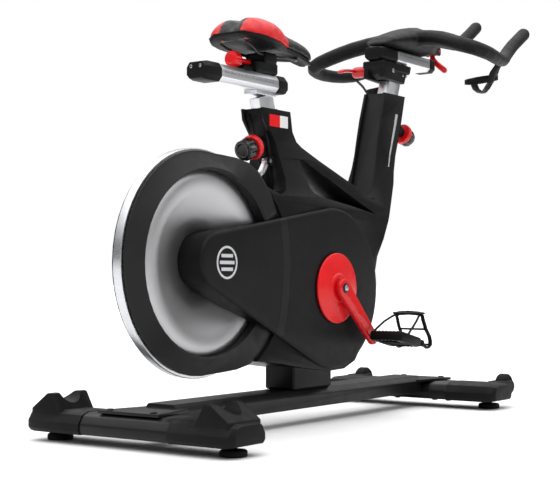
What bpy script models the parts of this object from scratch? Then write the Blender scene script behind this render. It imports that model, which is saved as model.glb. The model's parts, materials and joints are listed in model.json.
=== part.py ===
"""Indoor cycling bike, built as separate pieces in metres, +Z up.

+X points from the flywheel towards the handlebar, +Y to the rider's left. The layout's own x = 0 lies
58 mm behind the crank axle, and the layout empty shifts it so that the world origin is on the floor at
the middle of the bike's length.
"""

import math

import bmesh
import bpy
from mathutils import Matrix, Vector

for old_object in list(bpy.data.objects):
    bpy.data.objects.remove(old_object, do_unlink=True)

# ---------------------------------------------------------------- driving dimensions
LAYOUT_X = -0.1092
GAP = 0.0003
RUNNING = 0.0005

CRANK_X, CRANK_Z = 0.058, 0.303
CRANK_LENGTH = 0.170
CRANK_ANGLE = math.radians(-43.0)
CRANK_ARM_Y = 0.0975
CRANK_ARM_THICK = 0.014
AXLE_R = 0.0125
PEDAL_TILT = math.radians(12.0)

FLYWHEEL_X, FLYWHEEL_Z = -0.359, 0.355
FLYWHEEL_R = 0.2315
RIM_RIGHT, RIM_LEFT = -0.024, -0.004
FLYWHEEL_AXLE_R = 0.0085

BELT_Y = (-0.0745, -0.0665)
BIG_PULLEY_R = 0.105
SMALL_PULLEY_R = 0.030
BELT_THICK = 0.0025

GUARD_FACE_Y = -0.078
GUARD_WALL = 0.0025
GUARD_BELLY_R = 0.180
GUARD_TAIL_R = 0.058

FRAME_BACK_Y = 0.070
SHROUD_LIP_R = 0.187
SHROUD_OUTER_R = 0.226
SHROUD_FRONT_R = 0.2425
FRAME_ARC_R = 0.2437

REAR_X, FRONT_X = -0.503, 0.560
BASE_TOP = 0.064
BEAM_TOP = 0.079
CAP_START = 0.112
REAR_CAP_END, FRONT_CAP_END = 0.262, 0.246
FOOT_R = 0.026
REAR_FOOT = (-0.500, 0.221)
FRONT_FOOT = (0.575, 0.198)
WHEEL_X, WHEEL_Y, WHEEL_Z, WHEEL_R = 0.636, 0.210, 0.052, 0.031

SEAT_LEAN = math.radians(17.0)
SEAT_POST_TOP = 0.7305
SEAT_POST_LOW = 0.521
SEAT_POST_X = -0.110
SEAT_COLUMN_TOP = 0.692
SEAT_POST_SIZE = (0.054, 0.028)
SEAT_PIN_DROP, SEAT_TRAVEL = 0.068, 0.100

BAR_LEAN = math.radians(20.5)
BAR_POST_X = 0.4155
BAR_COLUMN_TOP = 0.784
BAR_COLUMN_REAR = 0.353
BAR_REAR_LEAN = math.radians(14.1)
BAR_POST_LOW = 0.634
BAR_POST_TOP = 0.842
BAR_POST_SIZE = (0.054, 0.030)
BAR_PIN_DROP, BAR_TRAVEL = 0.060, 0.085

SEAT_RAIL_X = (-0.289, -0.087)
SEAT_RAIL_Z = (0.731, 0.768)
BAR_RAIL_X = (0.424, 0.590)
BAR_RAIL_Z = (0.866, 0.900)
RAIL_HALF = 0.026
LEVER_PIVOT = (0.652, 0.0, 0.930)
QUICK_PIVOT = (0.386, 0.056, 0.846)
BRAKE_PIVOT = (-0.1190, 0.0, 0.5790)

BLACK = (0.012, 0.012, 0.013)


# ---------------------------------------------------------------- materials
def material(name, colour, roughness, metallic=0.0):
    mat = bpy.data.materials.new(name)
    mat.use_nodes = True
    shader = mat.node_tree.nodes["Principled BSDF"]
    shader.inputs["Base Color"].default_value = (*colour, 1.0)
    shader.inputs["Roughness"].default_value = roughness
    shader.inputs["Metallic"].default_value = metallic
    return mat


PAINT = material("frame_paint", BLACK, 0.35)
PLASTIC = material("black_plastic", (0.015, 0.015, 0.016), 0.45)
GUARD = material("guard_plastic", (0.016, 0.016, 0.018), 0.38)
SOFT_GRIP = material("grip_foam", (0.02, 0.02, 0.02), 0.6)
RED = material("red_plastic", (0.72, 0.02, 0.025), 0.35)
RED_METAL = material("red_anodised", (0.7, 0.02, 0.02), 0.3, 0.6)
ALUMINIUM = material("aluminium", (0.68, 0.69, 0.71), 0.32, 1.0)
SILVER_DISC = material("disc_aluminium", (0.52, 0.53, 0.55), 0.3, 1.0)
STEEL = material("steel", (0.45, 0.45, 0.47), 0.3, 1.0)
DARK_STEEL = material("dark_steel", (0.08, 0.08, 0.085), 0.35, 1.0)
RUBBER = material("rubber", (0.02, 0.02, 0.02), 0.8)
BELT = material("belt_rubber", (0.018, 0.018, 0.018), 0.7)
UPHOLSTERY = material("saddle_cover", (0.03, 0.03, 0.03), 0.5)

layout = bpy.data.objects.new("layout", None)
layout.location = (LAYOUT_X, 0.0, 0.0)
bpy.context.scene.collection.objects.link(layout)


# ---------------------------------------------------------------- mesh tools
def make_object(name, bm, mat, location=(0, 0, 0), rotation=(0, 0, 0), smooth_angle=35.0):
    """Turn a bmesh into a named object that hangs from the layout empty."""
    bmesh.ops.remove_doubles(bm, verts=bm.verts, dist=1e-6)
    bmesh.ops.recalc_face_normals(bm, faces=bm.faces)
    mesh = bpy.data.meshes.new(name)
    bm.to_mesh(mesh)
    bm.free()
    mesh.shade_smooth()
    mesh.set_sharp_from_angle(angle=math.radians(smooth_angle))
    if mat is not None:
        mesh.materials.append(mat)
    obj = bpy.data.objects.new(name, mesh)
    obj.location = location
    obj.rotation_euler = rotation
    obj.parent = layout
    bpy.context.scene.collection.objects.link(obj)
    return obj


def as_tool(obj):
    obj.hide_render = True
    obj.display_type = 'WIRE'
    return obj


def bevel(obj, width, segments=2, angle=35.0):
    mod = obj.modifiers.new("edge_bevel", 'BEVEL')
    mod.width = width
    mod.segments = segments
    mod.limit_method = 'ANGLE'
    mod.angle_limit = math.radians(angle)
    return obj


def boolean(obj, other, operation):
    as_tool(other)
    mod = obj.modifiers.new(operation.lower() + "_" + other.name, 'BOOLEAN')
    mod.operation = operation
    mod.solver = 'EXACT'
    mod.object = other
    return obj


def cut(obj, *tools):
    for tool in tools:
        boolean(obj, tool, 'DIFFERENCE')
    return obj


def join(obj, *others):
    for other in others:
        boolean(obj, other, 'UNION')
    return obj


AXES = {
    "X": Matrix.Rotation(math.radians(90), 3, 'Y'),
    "Y": Matrix.Rotation(math.radians(-90), 3, 'X'),
    "Z": Matrix.Identity(3),
}


def arc(cx, cz, radius, start, end, count):
    """Points of an arc in degrees, both ends included."""
    points = []
    for i in range(count + 1):
        a = math.radians(start + (end - start) * i / count)
        points.append((cx + radius * math.cos(a), cz + radius * math.sin(a)))
    return points


def rounded_rectangle(width, height, radius, segments=3):
    points = []
    for sx, sz, start in ((1, 1, 0), (-1, 1, 90), (-1, -1, 180), (1, -1, 270)):
        cx = sx * (width / 2 - radius)
        cz = sz * (height / 2 - radius)
        points += arc(cx, cz, radius, start, start + 90, segments)
    return points


def skin(rings, closed=False, caps=True):
    """Bridge rings of points, each with the same count, into one closed mesh."""
    bm = bmesh.new()
    loops = [[bm.verts.new(p) for p in ring] for ring in rings]
    count = len(loops[0])
    pairs = list(zip(loops, loops[1:]))
    if closed:
        pairs.append((loops[-1], loops[0]))
    for a, b in pairs:
        for i in range(count):
            j = (i + 1) % count
            bm.faces.new((a[i], a[j], b[j], b[i]))
    if caps and not closed:
        bm.faces.new(loops[0])
        bm.faces.new(list(reversed(loops[-1])))
    return bm


def prism_y(outline, y0, y1):
    """An outline of (x, z) points, extruded along Y."""
    return skin([[(x, y0, z) for x, z in outline], [(x, y1, z) for x, z in outline]])


def prism_x(outline, x0, x1):
    """An outline of (y, z) points, extruded along X."""
    return skin([[(x0, y, z) for y, z in outline], [(x1, y, z) for y, z in outline]])


def prism_z(outline, z0, z1):
    """An outline of (x, y) points, extruded along Z."""
    return skin([[(x, y, z0) for x, y in outline], [(x, y, z1) for x, y in outline]])


def box(size, centre=(0, 0, 0)):
    sx, sy, sz = (s / 2 for s in size)
    cx, cy, cz = centre
    outline = [(cx - sx, cz - sz), (cx + sx, cz - sz), (cx + sx, cz + sz), (cx - sx, cz + sz)]
    return prism_y(outline, cy - sy, cy + sy)


def lathe(profile, axis="Z", segments=32, ring=False):
    """Turn (radius, height) points about an axis; a ring's profile closes on itself."""
    bm = bmesh.new()
    turn = AXES[axis]
    loops = []
    for radius, height in profile:
        if radius < 1e-7:
            loops.append([bm.verts.new(turn @ Vector((0, 0, height)))])
            continue
        loop = []
        for i in range(segments):
            a = 2 * math.pi * i / segments
            loop.append(bm.verts.new(turn @ Vector((radius * math.cos(a), radius * math.sin(a), height))))
        loops.append(loop)
    pairs = list(zip(loops, loops[1:]))
    if ring:
        pairs.append((loops[-1], loops[0]))
    for a, b in pairs:
        for i in range(segments):
            j = (i + 1) % segments
            if len(a) == 1:
                bm.faces.new((a[0], b[i], b[j]))
            elif len(b) == 1:
                bm.faces.new((a[i], b[0], a[j]))
            else:
                bm.faces.new((a[i], a[j], b[j], b[i]))
    return bm


def disc(radius, low, high, axis="Y", segments=32):
    return lathe([(0, low), (radius, low), (radius, high), (0, high)], axis, segments)


def washer(inner, outer, low, high, axis="Y", segments=32):
    return lathe([(inner, low), (outer, low), (outer, high), (inner, high)], axis, segments, ring=True)


def catmull(points, per_span=6):
    """A smooth curve through the points, as a denser list."""
    pts = [Vector(p) for p in points]
    ends = [2 * pts[0] - pts[1]] + pts + [2 * pts[-1] - pts[-2]]
    out = []
    for i in range(1, len(ends) - 2):
        p0, p1, p2, p3 = ends[i - 1:i + 3]
        for s in range(per_span):
            t = s / per_span
            out.append(0.5 * (2 * p1 + (p2 - p0) * t + (2 * p0 - 5 * p1 + 4 * p2 - p3) * t * t
                              + (3 * p1 - p0 - 3 * p2 + p3) * t ** 3))
    out.append(pts[-1])
    return out


def sweep(path, radii, sides=12, up=Vector((0, 0, 1)), dome=True):
    """A round or oval bar along a path; radii holds (across, upright) for every point."""
    path = [Vector(p) for p in path]
    rings = []
    last = len(path) - 1
    side = None
    for i, point in enumerate(path):
        tangent = (path[min(i + 1, last)] - path[max(i - 1, 0)]).normalized()
        if side is None:
            side = tangent.cross(up)
        side = (side - tangent * side.dot(tangent)).normalized()
        upright = side.cross(tangent)
        wide, tall = radii[i] if isinstance(radii, list) else radii
        rings.append([point + side * wide * math.cos(2 * math.pi * k / sides)
                      + upright * tall * math.sin(2 * math.pi * k / sides) for k in range(sides)])
    if dome:
        rings = domed(path[0], path[1], rings[0]) + rings + list(reversed(domed(path[-1], path[-2], rings[-1])))
    return skin(rings)


def domed(end, inner, ring):
    """Two shrinking rings that round off the end of a bar."""
    outward = (end - inner).normalized()
    reach = (ring[0] - end).length
    out = []
    for scale, rise in ((0.45, 0.80), (0.82, 0.45)):
        out.append([end + (p - end) * scale + outward * reach * rise for p in ring])
    return out


def hull_outline(cx0, cz0, r0, cx1, cz1, r1, count=24):
    """Outline of a belt-like shape around two circles, from the small one to the large one."""
    angle = math.degrees(math.atan2(cz1 - cz0, cx1 - cx0))
    gap = math.hypot(cx1 - cx0, cz1 - cz0)
    lean = math.degrees(math.acos((r0 - r1) / gap))
    tail = arc(cx0, cz0, r0, angle + lean, angle + 360 - lean, count // 2)
    belly = arc(cx1, cz1, r1, angle - lean, angle + lean, count)
    return tail + belly


def guard_outline(offset=0.0, count=30):
    return hull_outline(FLYWHEEL_X, FLYWHEEL_Z + 0.004, GUARD_TAIL_R + offset,
                        CRANK_X, CRANK_Z, GUARD_BELLY_R + offset, count)


def tilted(lean, x, z, distance, height=0.0):
    """A point that lies a distance along a leaning column and height square to it."""
    return (x - math.sin(lean) * distance - math.cos(lean) * height, 0.0,
            z + math.cos(lean) * distance - math.sin(lean) * height)


# ---------------------------------------------------------------- base
def stabilizer_section(grow=1.0, drop=0.0):
    """Half-round section of the floor bars: flat underside, leaning shoulders."""
    half = [(0.050, 0.021), (0.056, 0.028), (0.056, 0.042), (0.046, 0.058), (0.030, BASE_TOP)]
    points = half + [(-x, z) for x, z in reversed(half)]
    middle = 0.042
    return [(x * grow, middle + (z - middle) * grow - drop) for x, z in points]


def stabilizer(name, centre_x):
    bm = prism_y(stabilizer_section(), -CAP_START + GAP, CAP_START - GAP)
    return make_object(name, bm, PAINT, (centre_x, 0, 0), smooth_angle=50)


def end_cap_body(side, end):
    rings = []
    for y, grow in ((CAP_START, 1.03), (end - 0.022, 1.03), (end - 0.008, 0.96), (end, 0.80)):
        rings.append([(x, side * y, z) for x, z in stabilizer_section(grow)])
    return skin(rings)


def foot_hole(name, x, y):
    bm = disc(0.0056, 0.0, 0.0475, "Z", 16)
    return make_object(name, bm, None, (x, y, 0))


def rear_end_cap(side, label):
    cap = make_object("rear_end_cap_" + label, end_cap_body(side, REAR_CAP_END), PLASTIC, (REAR_X, 0, 0),
                      smooth_angle=45)
    ridge = [(0.166, 0.050), (0.192, 0.097), (0.207, 0.097), (0.250, 0.066), (0.250, 0.050)]
    block = make_object("ridge_" + label, prism_x([(side * y, z) for y, z in ridge], -0.049, 0.049), None,
                        (REAR_X, 0, 0))
    bevel(block, 0.003, 2)
    valley = make_object("valley_" + label, disc(0.030, 0.140, 0.290, "Y", 24), None, (REAR_X, 0, 0.106),
                         rotation=(0, 0, 0 if side > 0 else math.pi))
    join(cap, block)
    cut(cap, valley, foot_hole("rear_hole_" + label, REAR_FOOT[0], side * REAR_FOOT[1]))
    return cap


def front_end_cap(side, label):
    cap = make_object("front_end_cap_" + label, end_cap_body(side, FRONT_CAP_END), PLASTIC, (FRONT_X, 0, 0),
                      smooth_angle=45)
    fork = [(0.585, 0.030), (0.640, 0.034)] + arc(WHEEL_X + 0.004, WHEEL_Z, 0.015, -50, 90, 4) + [(0.585, 0.066)]
    block = make_object("fork_" + label, prism_y(fork, side * (WHEEL_Y - 0.0215), side * (WHEEL_Y + 0.0215)), None)
    bevel(block, 0.002, 1)
    slot = make_object("wheel_slot_" + label, disc(WHEEL_R + 0.003, -0.0135, 0.0135, "Y", 24), None,
                       (WHEEL_X, side * WHEEL_Y, WHEEL_Z))
    pin = make_object("wheel_pin_" + label, disc(0.0040, -0.0205, 0.0205, "Y", 12), None,
                      (WHEEL_X, side * WHEEL_Y, WHEEL_Z))
    join(cap, block)
    cut(cap, slot, foot_hole("front_hole_" + label, FRONT_FOOT[0], side * FRONT_FOOT[1]))
    join(cap, pin)
    return cap


def transport_wheel(side, label):
    half = 0.0125
    profile = [(0.0047, -half), (WHEEL_R - 0.004, -half), (WHEEL_R, -0.007), (WHEEL_R, 0.007),
               (WHEEL_R - 0.004, half), (0.0047, half)]
    place = (WHEEL_X, side * WHEEL_Y, WHEEL_Z)
    return make_object("transport_wheel_" + label, lathe(profile, "Y", 24, ring=True), RUBBER, place)


def levelling_foot(name, x, y):
    profile = [(0, 0), (FOOT_R, 0), (FOOT_R, 0.010), (FOOT_R - 0.003, 0.0125), (0.009, 0.0135),
               (0.0051, 0.0175), (0.0051, 0.046), (0, 0.046)]
    return make_object(name, lathe(profile, "Z", 20), RUBBER, (x, y, 0))


def main_beam():
    section = [(-0.045, 0.038), (0.045, 0.038), (0.045, 0.066), (0.033, BEAM_TOP), (-0.033, BEAM_TOP),
               (-0.045, 0.066)]
    rear, front = REAR_X + 0.0563, FRONT_X - 0.0563
    beam = make_object("main_beam", prism_x(section, rear, front), PAINT)
    plate_low, plate_high = BASE_TOP + GAP, BASE_TOP + 0.0065
    rear_plate = prism_z([(REAR_X - 0.040, -0.078), (REAR_X + 0.078, -0.052), (REAR_X + 0.078, 0.052),
                          (REAR_X - 0.040, 0.078)], plate_low, plate_high)
    front_plate = prism_z([(FRONT_X + 0.040, 0.078), (FRONT_X - 0.078, 0.052), (FRONT_X - 0.078, -0.052),
                           (FRONT_X + 0.040, -0.078)], plate_low, plate_high)
    join(beam, make_object("rear_plate", rear_plate, None), make_object("front_plate", front_plate, None))
    return beam


def build_base():
    main_beam()
    stabilizer("rear_stabilizer", REAR_X)
    stabilizer("front_stabilizer", FRONT_X)
    for side, label in ((1, "left"), (-1, "right")):
        rear_end_cap(side, label)
        front_end_cap(side, label)
        transport_wheel(side, label)
        levelling_foot("rear_foot_" + label, REAR_FOOT[0], side * REAR_FOOT[1])
        levelling_foot("front_foot_" + label, FRONT_FOOT[0], side * FRONT_FOOT[1])


# ---------------------------------------------------------------- frame
def frame_outline():
    """Side view of the frame: flywheel arc, belly, front column, top tube and seat column."""
    wheel_arc = arc(FLYWHEEL_X, FLYWHEEL_Z, FRAME_ARC_R, 43, -56, 16)
    belly = [(-0.147, 0.1445), (-0.054, 0.130), (0.045, 0.118), (0.105, 0.120)]
    front = [(0.150, 0.136), (0.190, 0.180), (0.220, 0.250), (0.237, 0.330), (0.251, 0.378), (0.281, 0.419),
             (0.318, 0.471), (0.371, 0.557), (0.415, 0.680), (0.452, BAR_COLUMN_TOP)]
    front_rear = [(BAR_COLUMN_REAR, BAR_COLUMN_TOP), (0.334, 0.716), (0.318, 0.652), (0.306, 0.598),
                  (0.294, 0.548), (0.283, 0.521), (0.262, 0.511)]
    top_tube = [(0.187, 0.538), (0.100, 0.571), (0.027, 0.600), (-0.012, 0.616), (-0.030, 0.627), (-0.042, 0.648)]
    seat = [(-0.050, SEAT_COLUMN_TOP), (-0.152, SEAT_COLUMN_TOP), (-0.148, 0.668), (-0.124, 0.640),
            (-0.110, 0.618), (-0.105, 0.580), (-0.100, 0.540), (-0.106, 0.514), (-0.128, 0.503), (-0.152, 0.510)]
    return wheel_arc + belly + front + front_rear + top_tube + seat


def frame_half_width(x, z):
    """The frame is widest round the crank and slims towards both column heads."""
    low, high = (0.44, 0.66) if x < 0.2 else (0.40, 0.64)
    t = min(1.0, max(0.0, (z - low) / (high - low)))
    blend = t * t * (3 - 2 * t)
    slim = 0.030 if x < 0.2 else 0.034
    width = FRAME_BACK_Y + (slim - FRAME_BACK_Y) * blend
    if z > 0.70:
        width -= 0.004 * (z - 0.70) / 0.084
    return width


def triangle_window():
    outline = [(-0.030, 0.586), (-0.020, 0.545), (-0.010, 0.525), (0.004, 0.514), (0.049, 0.505), (0.143, 0.494),
               (0.256, 0.478), (0.162, 0.515), (0.048, 0.560), (-0.018, 0.588)]
    return make_object("triangle_window", prism_y(outline, -0.1, 0.1), None)


def leaning_box(name, lean, x, z, low, high, size, radius=0.004):
    """A box along a leaning column, from low to high along it, with rounded corners."""
    bm = prism_z(rounded_rectangle(size[0], size[1], radius, 2), low, high)
    return make_object(name, bm, None, (x, 0, z), (0, lean, 0))


def seat_socket_tube():
    bm = prism_z(rounded_rectangle(SEAT_POST_SIZE[0] + 0.0066, SEAT_POST_SIZE[1] + 0.010, 0.0060, 2), -0.190, 0.0)
    return make_object("seat_socket_tube", bm, None, (SEAT_POST_X, 0, SEAT_COLUMN_TOP - 0.004),
                       (0, -SEAT_LEAN, 0))


def frame():
    bm = prism_y(frame_outline(), -FRAME_BACK_Y, FRAME_BACK_Y)
    for height in (0.46, 0.49, 0.52, 0.55, 0.59, 0.63, 0.67, 0.72):
        everything = bm.verts[:] + bm.edges[:] + bm.faces[:]
        bmesh.ops.bisect_plane(bm, geom=everything, plane_co=(0, 0, height), plane_no=(0, 0, 1))
    for vert in bm.verts:
        vert.co.y *= frame_half_width(vert.co.x, vert.co.z) / FRAME_BACK_Y
    body = make_object("frame", bm, PAINT, smooth_angle=40)
    bevel(body, 0.007, 2, 40)
    cut(body, triangle_window(),
        gutter("seat_gutter", -SEAT_LEAN, SEAT_POST_X, SEAT_COLUMN_TOP, -0.0305, (0.024, 0.024), -0.165),
        gutter("bar_gutter", BAR_REAR_LEAN, BAR_COLUMN_REAR, BAR_COLUMN_TOP, 0.0090, (0.0225, 0.033), -0.248))
    pedestal = make_object("pedestal", box((0.150, 0.080, 0.070), (0.024, 0, BEAM_TOP + GAP + 0.035)), None)
    bevel(pedestal, 0.004, 1)
    seat_bore = leaning_box("seat_bore", -SEAT_LEAN, SEAT_POST_X, SEAT_COLUMN_TOP, -0.186, 0.05,
                            [s + 2 * RUNNING for s in SEAT_POST_SIZE], 0.0045)
    bar_bore = leaning_box("bar_bore", BAR_LEAN, BAR_POST_X, BAR_COLUMN_TOP, -0.167, 0.05,
                           [s + 2 * RUNNING for s in BAR_POST_SIZE], 0.0045)
    crank_bore = make_object("crank_bore", disc(0.0203, -0.1, 0.1, "Y", 28), None, (CRANK_X, 0, CRANK_Z))
    recess = make_object("belt_recess", prism_y(guard_outline(-GUARD_WALL - 0.001), -0.0645, -0.12), None)
    return body, (pedestal, seat_socket_tube()), (recess, crank_bore, seat_bore, bar_bore)


def gutter(name, lean, x, z, floor, widths, bottom):
    """A channel down a column's rear face, with a flat floor and a round lower end; widths are its half widths."""
    top, half = widths
    outline = [(top, 0.05), (-top, 0.05)]
    outline += [(half * math.cos(math.radians(a)), bottom + half * math.sin(math.radians(a)))
                for a in range(180, 361, 20)]
    return make_object(name, prism_x(outline, -0.20, floor), None, (x, 0, z), (0, lean, 0))


def pin_bore(name, place, lean):
    """A bore from a leaning post out through one wall of its column, for the locking pin."""
    return make_object(name, disc(0.0045, 0.0, 0.060, "X", 12), None, place, (0, lean, 0))


def fork_arm(name, y0, y1):
    """A plate that carries one flywheel bearing, tied into the frame's body."""
    outline = hull_outline(FLYWHEEL_X, FLYWHEEL_Z, 0.030, -0.075, 0.335, 0.045, 12)
    return make_object(name, prism_y(outline, y0, y1), None)


def brake_ear(name, y0, y1):
    """A lug behind the seat column that holds one end of the magnet arm's pin."""
    px, _, pz = BRAKE_PIVOT
    return make_object(name, prism_y(hull_outline(px + 0.030, pz + 0.002, 0.0102, px, pz, 0.0095, 12), y0, y1), None)


def bearing_bore(name, y0, y1):
    return make_object(name, disc(0.0163, y0, y1, "Y", 24), None, (FLYWHEEL_X, 0, FLYWHEEL_Z))


RIGHT_ARM_Y = (-0.0642, -0.0500)
LEFT_ARM_Y = (0.0280, 0.0420)


def build_frame():
    body, added, removed = frame()
    join(body, *added, fork_arm("right_arm", *RIGHT_ARM_Y), fork_arm("left_arm", *LEFT_ARM_Y),
         brake_ear("right_brake_ear", -0.0275, -0.0230), brake_ear("left_brake_ear", -0.0050, -0.0005))
    brake_bore = make_object("brake_bore", disc(0.0045, -0.040, 0.010, "Y", 12), None, BRAKE_PIVOT)
    cut(body, *removed, bearing_bore("right_bearing_bore", -0.070, -0.045),
        bearing_bore("left_bearing_bore", 0.020, 0.050), brake_bore,
        pin_bore("seat_pin_bore", seat_knob_place(), math.pi - SEAT_LEAN),
        pin_bore("bar_pin_bore", bar_knob_place(), BAR_LEAN))
    return body


def seat_knob_place():
    """Where the seat pin's line crosses the seat post's middle."""
    return tilted(SEAT_LEAN, SEAT_POST_X, SEAT_COLUMN_TOP, -SEAT_PIN_DROP)


def bar_knob_place():
    return tilted(-BAR_LEAN, BAR_POST_X, BAR_COLUMN_TOP, -BAR_PIN_DROP)


# ---------------------------------------------------------------- flywheel shrouds
def shroud(name, side):
    """A coned ring over the flywheel's rim that widens into the frame in front."""
    rings = []
    count = 48
    for i in range(count):
        a = 2 * math.pi * i / count
        off = abs(math.degrees(math.atan2(math.sin(a), math.cos(a))))
        t = min(1.0, max(0.0, (84.0 - off) / 30.0))
        t = t * t * (3 - 2 * t)
        outer = SHROUD_OUTER_R + (SHROUD_FRONT_R - SHROUD_OUTER_R) * t
        reach = 0.5 + 0.5 * math.cos(a - math.radians(10))
        if side < 0:
            back_out, back_in = RIM_RIGHT - 0.002, RIM_RIGHT - 0.0195
            face_out = back_out - 0.004 - 0.032 * t
            face_in = -0.049 - 0.021 * reach
        else:
            back_out, back_in = RIM_LEFT + 0.002, RIM_LEFT + 0.0260
            face_out = back_out + 0.004 + 0.058 * t
            face_in = 0.0270 + 0.038 * reach ** 2
        section = [(outer, back_out), (outer, face_out), (outer - 0.006, face_out + side * 0.002),
                   (SHROUD_LIP_R + 0.004, face_in), (SHROUD_LIP_R, face_in - side * 0.003),
                   (SHROUD_LIP_R, back_in)]
        rings.append([(FLYWHEEL_X + r * math.cos(a), y, FLYWHEEL_Z + r * math.sin(a)) for r, y in section])
    return make_object(name, skin(rings, closed=True), PLASTIC, smooth_angle=30)


def build_shrouds():
    right = shroud("flywheel_shroud_right", -1)
    left = shroud("flywheel_shroud_left", 1)
    belt_way = make_object("belt_way", prism_y(guard_outline(-GUARD_WALL - 0.001), -0.0485, -0.12), None)
    arm_outline = hull_outline(FLYWHEEL_X, FLYWHEEL_Z, 0.034, -0.075, 0.335, 0.049, 20)
    arm_way = make_object("left_arm_way", prism_y(arm_outline, LEFT_ARM_Y[0] - 0.0015, 0.12), None)
    cut(right, belt_way)
    cut(left, arm_way)


# ---------------------------------------------------------------- flywheel
# radius and height over the rim's face
RIGHT_DISH = ((0.214, 0.0003), (0.180, 0.0175), (0.168, 0.0215), (0.140, 0.0125), (0.095, -0.0050), (0.046, -0.0115))
LEFT_DISH = ((0.214, 0.0003), (0.180, 0.0175), (0.168, 0.0215), (0.140, 0.0150), (0.095, 0.0050), (0.046, 0.0010))
DISH_SKIN = 0.002


def flywheel_face(name, side):
    """A thin dished aluminium cover that turns with the flywheel."""
    edge = RIM_RIGHT if side < 0 else RIM_LEFT
    depth = RIGHT_DISH if side < 0 else LEFT_DISH
    outer = [(r, edge + side * (h + DISH_SKIN)) for r, h in depth]
    inner = [(r, edge + side * h) for r, h in reversed(depth)]
    bm = lathe(outer + inner, "Y", 40, ring=True)
    return make_object(name, bm, SILVER_DISC, (FLYWHEEL_X, 0, FLYWHEEL_Z), smooth_angle=40)


def flywheel():
    profile = [(FLYWHEEL_AXLE_R + GAP, -0.0115), (0.100, -0.0115), (0.196, -0.0180), (0.200, RIM_RIGHT),
               (FLYWHEEL_R - 0.0015, RIM_RIGHT), (FLYWHEEL_R, RIM_RIGHT + 0.0015),
               (FLYWHEEL_R, RIM_LEFT - 0.0015), (FLYWHEEL_R - 0.0015, RIM_LEFT), (0.200, RIM_LEFT),
               (0.196, -0.0100), (0.100, -0.0050), (FLYWHEEL_AXLE_R + GAP, -0.0050)]
    bm = lathe(profile, "Y", 60, ring=True)
    return make_object("flywheel", bm, STEEL, (FLYWHEEL_X, 0, FLYWHEEL_Z), smooth_angle=40)


def build_flywheel():
    place = (FLYWHEEL_X, 0, FLYWHEEL_Z)
    flywheel()
    flywheel_face("flywheel_face_right", -1)
    flywheel_face("flywheel_face_left", 1)
    low, high = BELT_Y[0] - 0.0003, BELT_Y[1] + 0.0003
    shaft = [(0, low), (SMALL_PULLEY_R, low), (SMALL_PULLEY_R, high), (FLYWHEEL_AXLE_R, high),
             (FLYWHEEL_AXLE_R, 0.0425), (0, 0.0425)]
    make_object("flywheel_pulley_shaft", lathe(shaft, "Y", 32), DARK_STEEL, place)
    for label, low in (("right", -0.0635), ("left", 0.0290)):
        make_object("flywheel_bearing_" + label, washer(FLYWHEEL_AXLE_R + GAP, 0.0160, low, low + 0.012, "Y", 24),
                    STEEL, place)


# ---------------------------------------------------------------- belt drive
def crank_pulley():
    """The large pulley: a rim as wide as the belt, a thin web and a hub on the crank axle."""
    low, high = BELT_Y[0] - 0.0003, BELT_Y[1] + 0.0003
    mid = (low + high) / 2
    bore = AXLE_R + GAP
    rim = BIG_PULLEY_R
    profile = [(bore, low), (rim - 0.010, mid - 0.002), (rim - 0.008, low), (rim, low),
               (rim, high), (rim - 0.008, high), (rim - 0.010, mid + 0.002), (bore, high)]
    return make_object("crank_pulley", lathe(profile, "Y", 36, ring=True), DARK_STEEL, (CRANK_X, 0, CRANK_Z))


def belt():
    small = SMALL_PULLEY_R + GAP
    big = BIG_PULLEY_R + GAP
    inner = hull_outline(FLYWHEEL_X, FLYWHEEL_Z, small, CRANK_X, CRANK_Z, big, 28)
    outer = hull_outline(FLYWHEEL_X, FLYWHEEL_Z, small + BELT_THICK, CRANK_X, CRANK_Z, big + BELT_THICK, 28)
    bm = bmesh.new()
    loops = []
    for outline, y in ((outer, BELT_Y[0]), (outer, BELT_Y[1]), (inner, BELT_Y[1]), (inner, BELT_Y[0])):
        loops.append([bm.verts.new((x, y, z)) for x, z in outline])
    count = len(outer)
    for k in range(4):
        a, b = loops[k], loops[(k + 1) % 4]
        for i in range(count):
            j = (i + 1) % count
            bm.faces.new((a[i], a[j], b[j], b[i]))
    return make_object("drive_belt", bm, BELT)


def crank_arm(name, side):
    """A tapered arm from the axle boss to the pedal eye, cut for the axle and the spindle."""
    outline = hull_outline(0, 0, 0.0215, CRANK_LENGTH, 0, 0.0150, 14)
    half = CRANK_ARM_THICK / 2
    bm = prism_y(outline, -half, half)
    angle = -CRANK_ANGLE if side < 0 else -CRANK_ANGLE + math.pi
    place = (CRANK_X, side * CRANK_ARM_Y, CRANK_Z)
    arm = make_object(name, bm, RED_METAL, place, (0, angle, 0))
    bevel(arm, 0.0035, 2)
    axle_hole = make_object(name + "_axle_hole", disc(AXLE_R + GAP, -side * 0.03, side * 0.0025, "Y", 20), None,
                            place)
    eye = make_object(name + "_eye", disc(0.0073, -0.03, 0.03, "Y", 16), None,
                      pedal_place(side, CRANK_ARM_Y))
    cut(arm, axle_hole, eye)
    return arm


def pedal_place(side, y):
    sign = 1 if side < 0 else -1
    return (CRANK_X + sign * CRANK_LENGTH * math.cos(CRANK_ANGLE), side * y,
            CRANK_Z + sign * CRANK_LENGTH * math.sin(CRANK_ANGLE))


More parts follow.
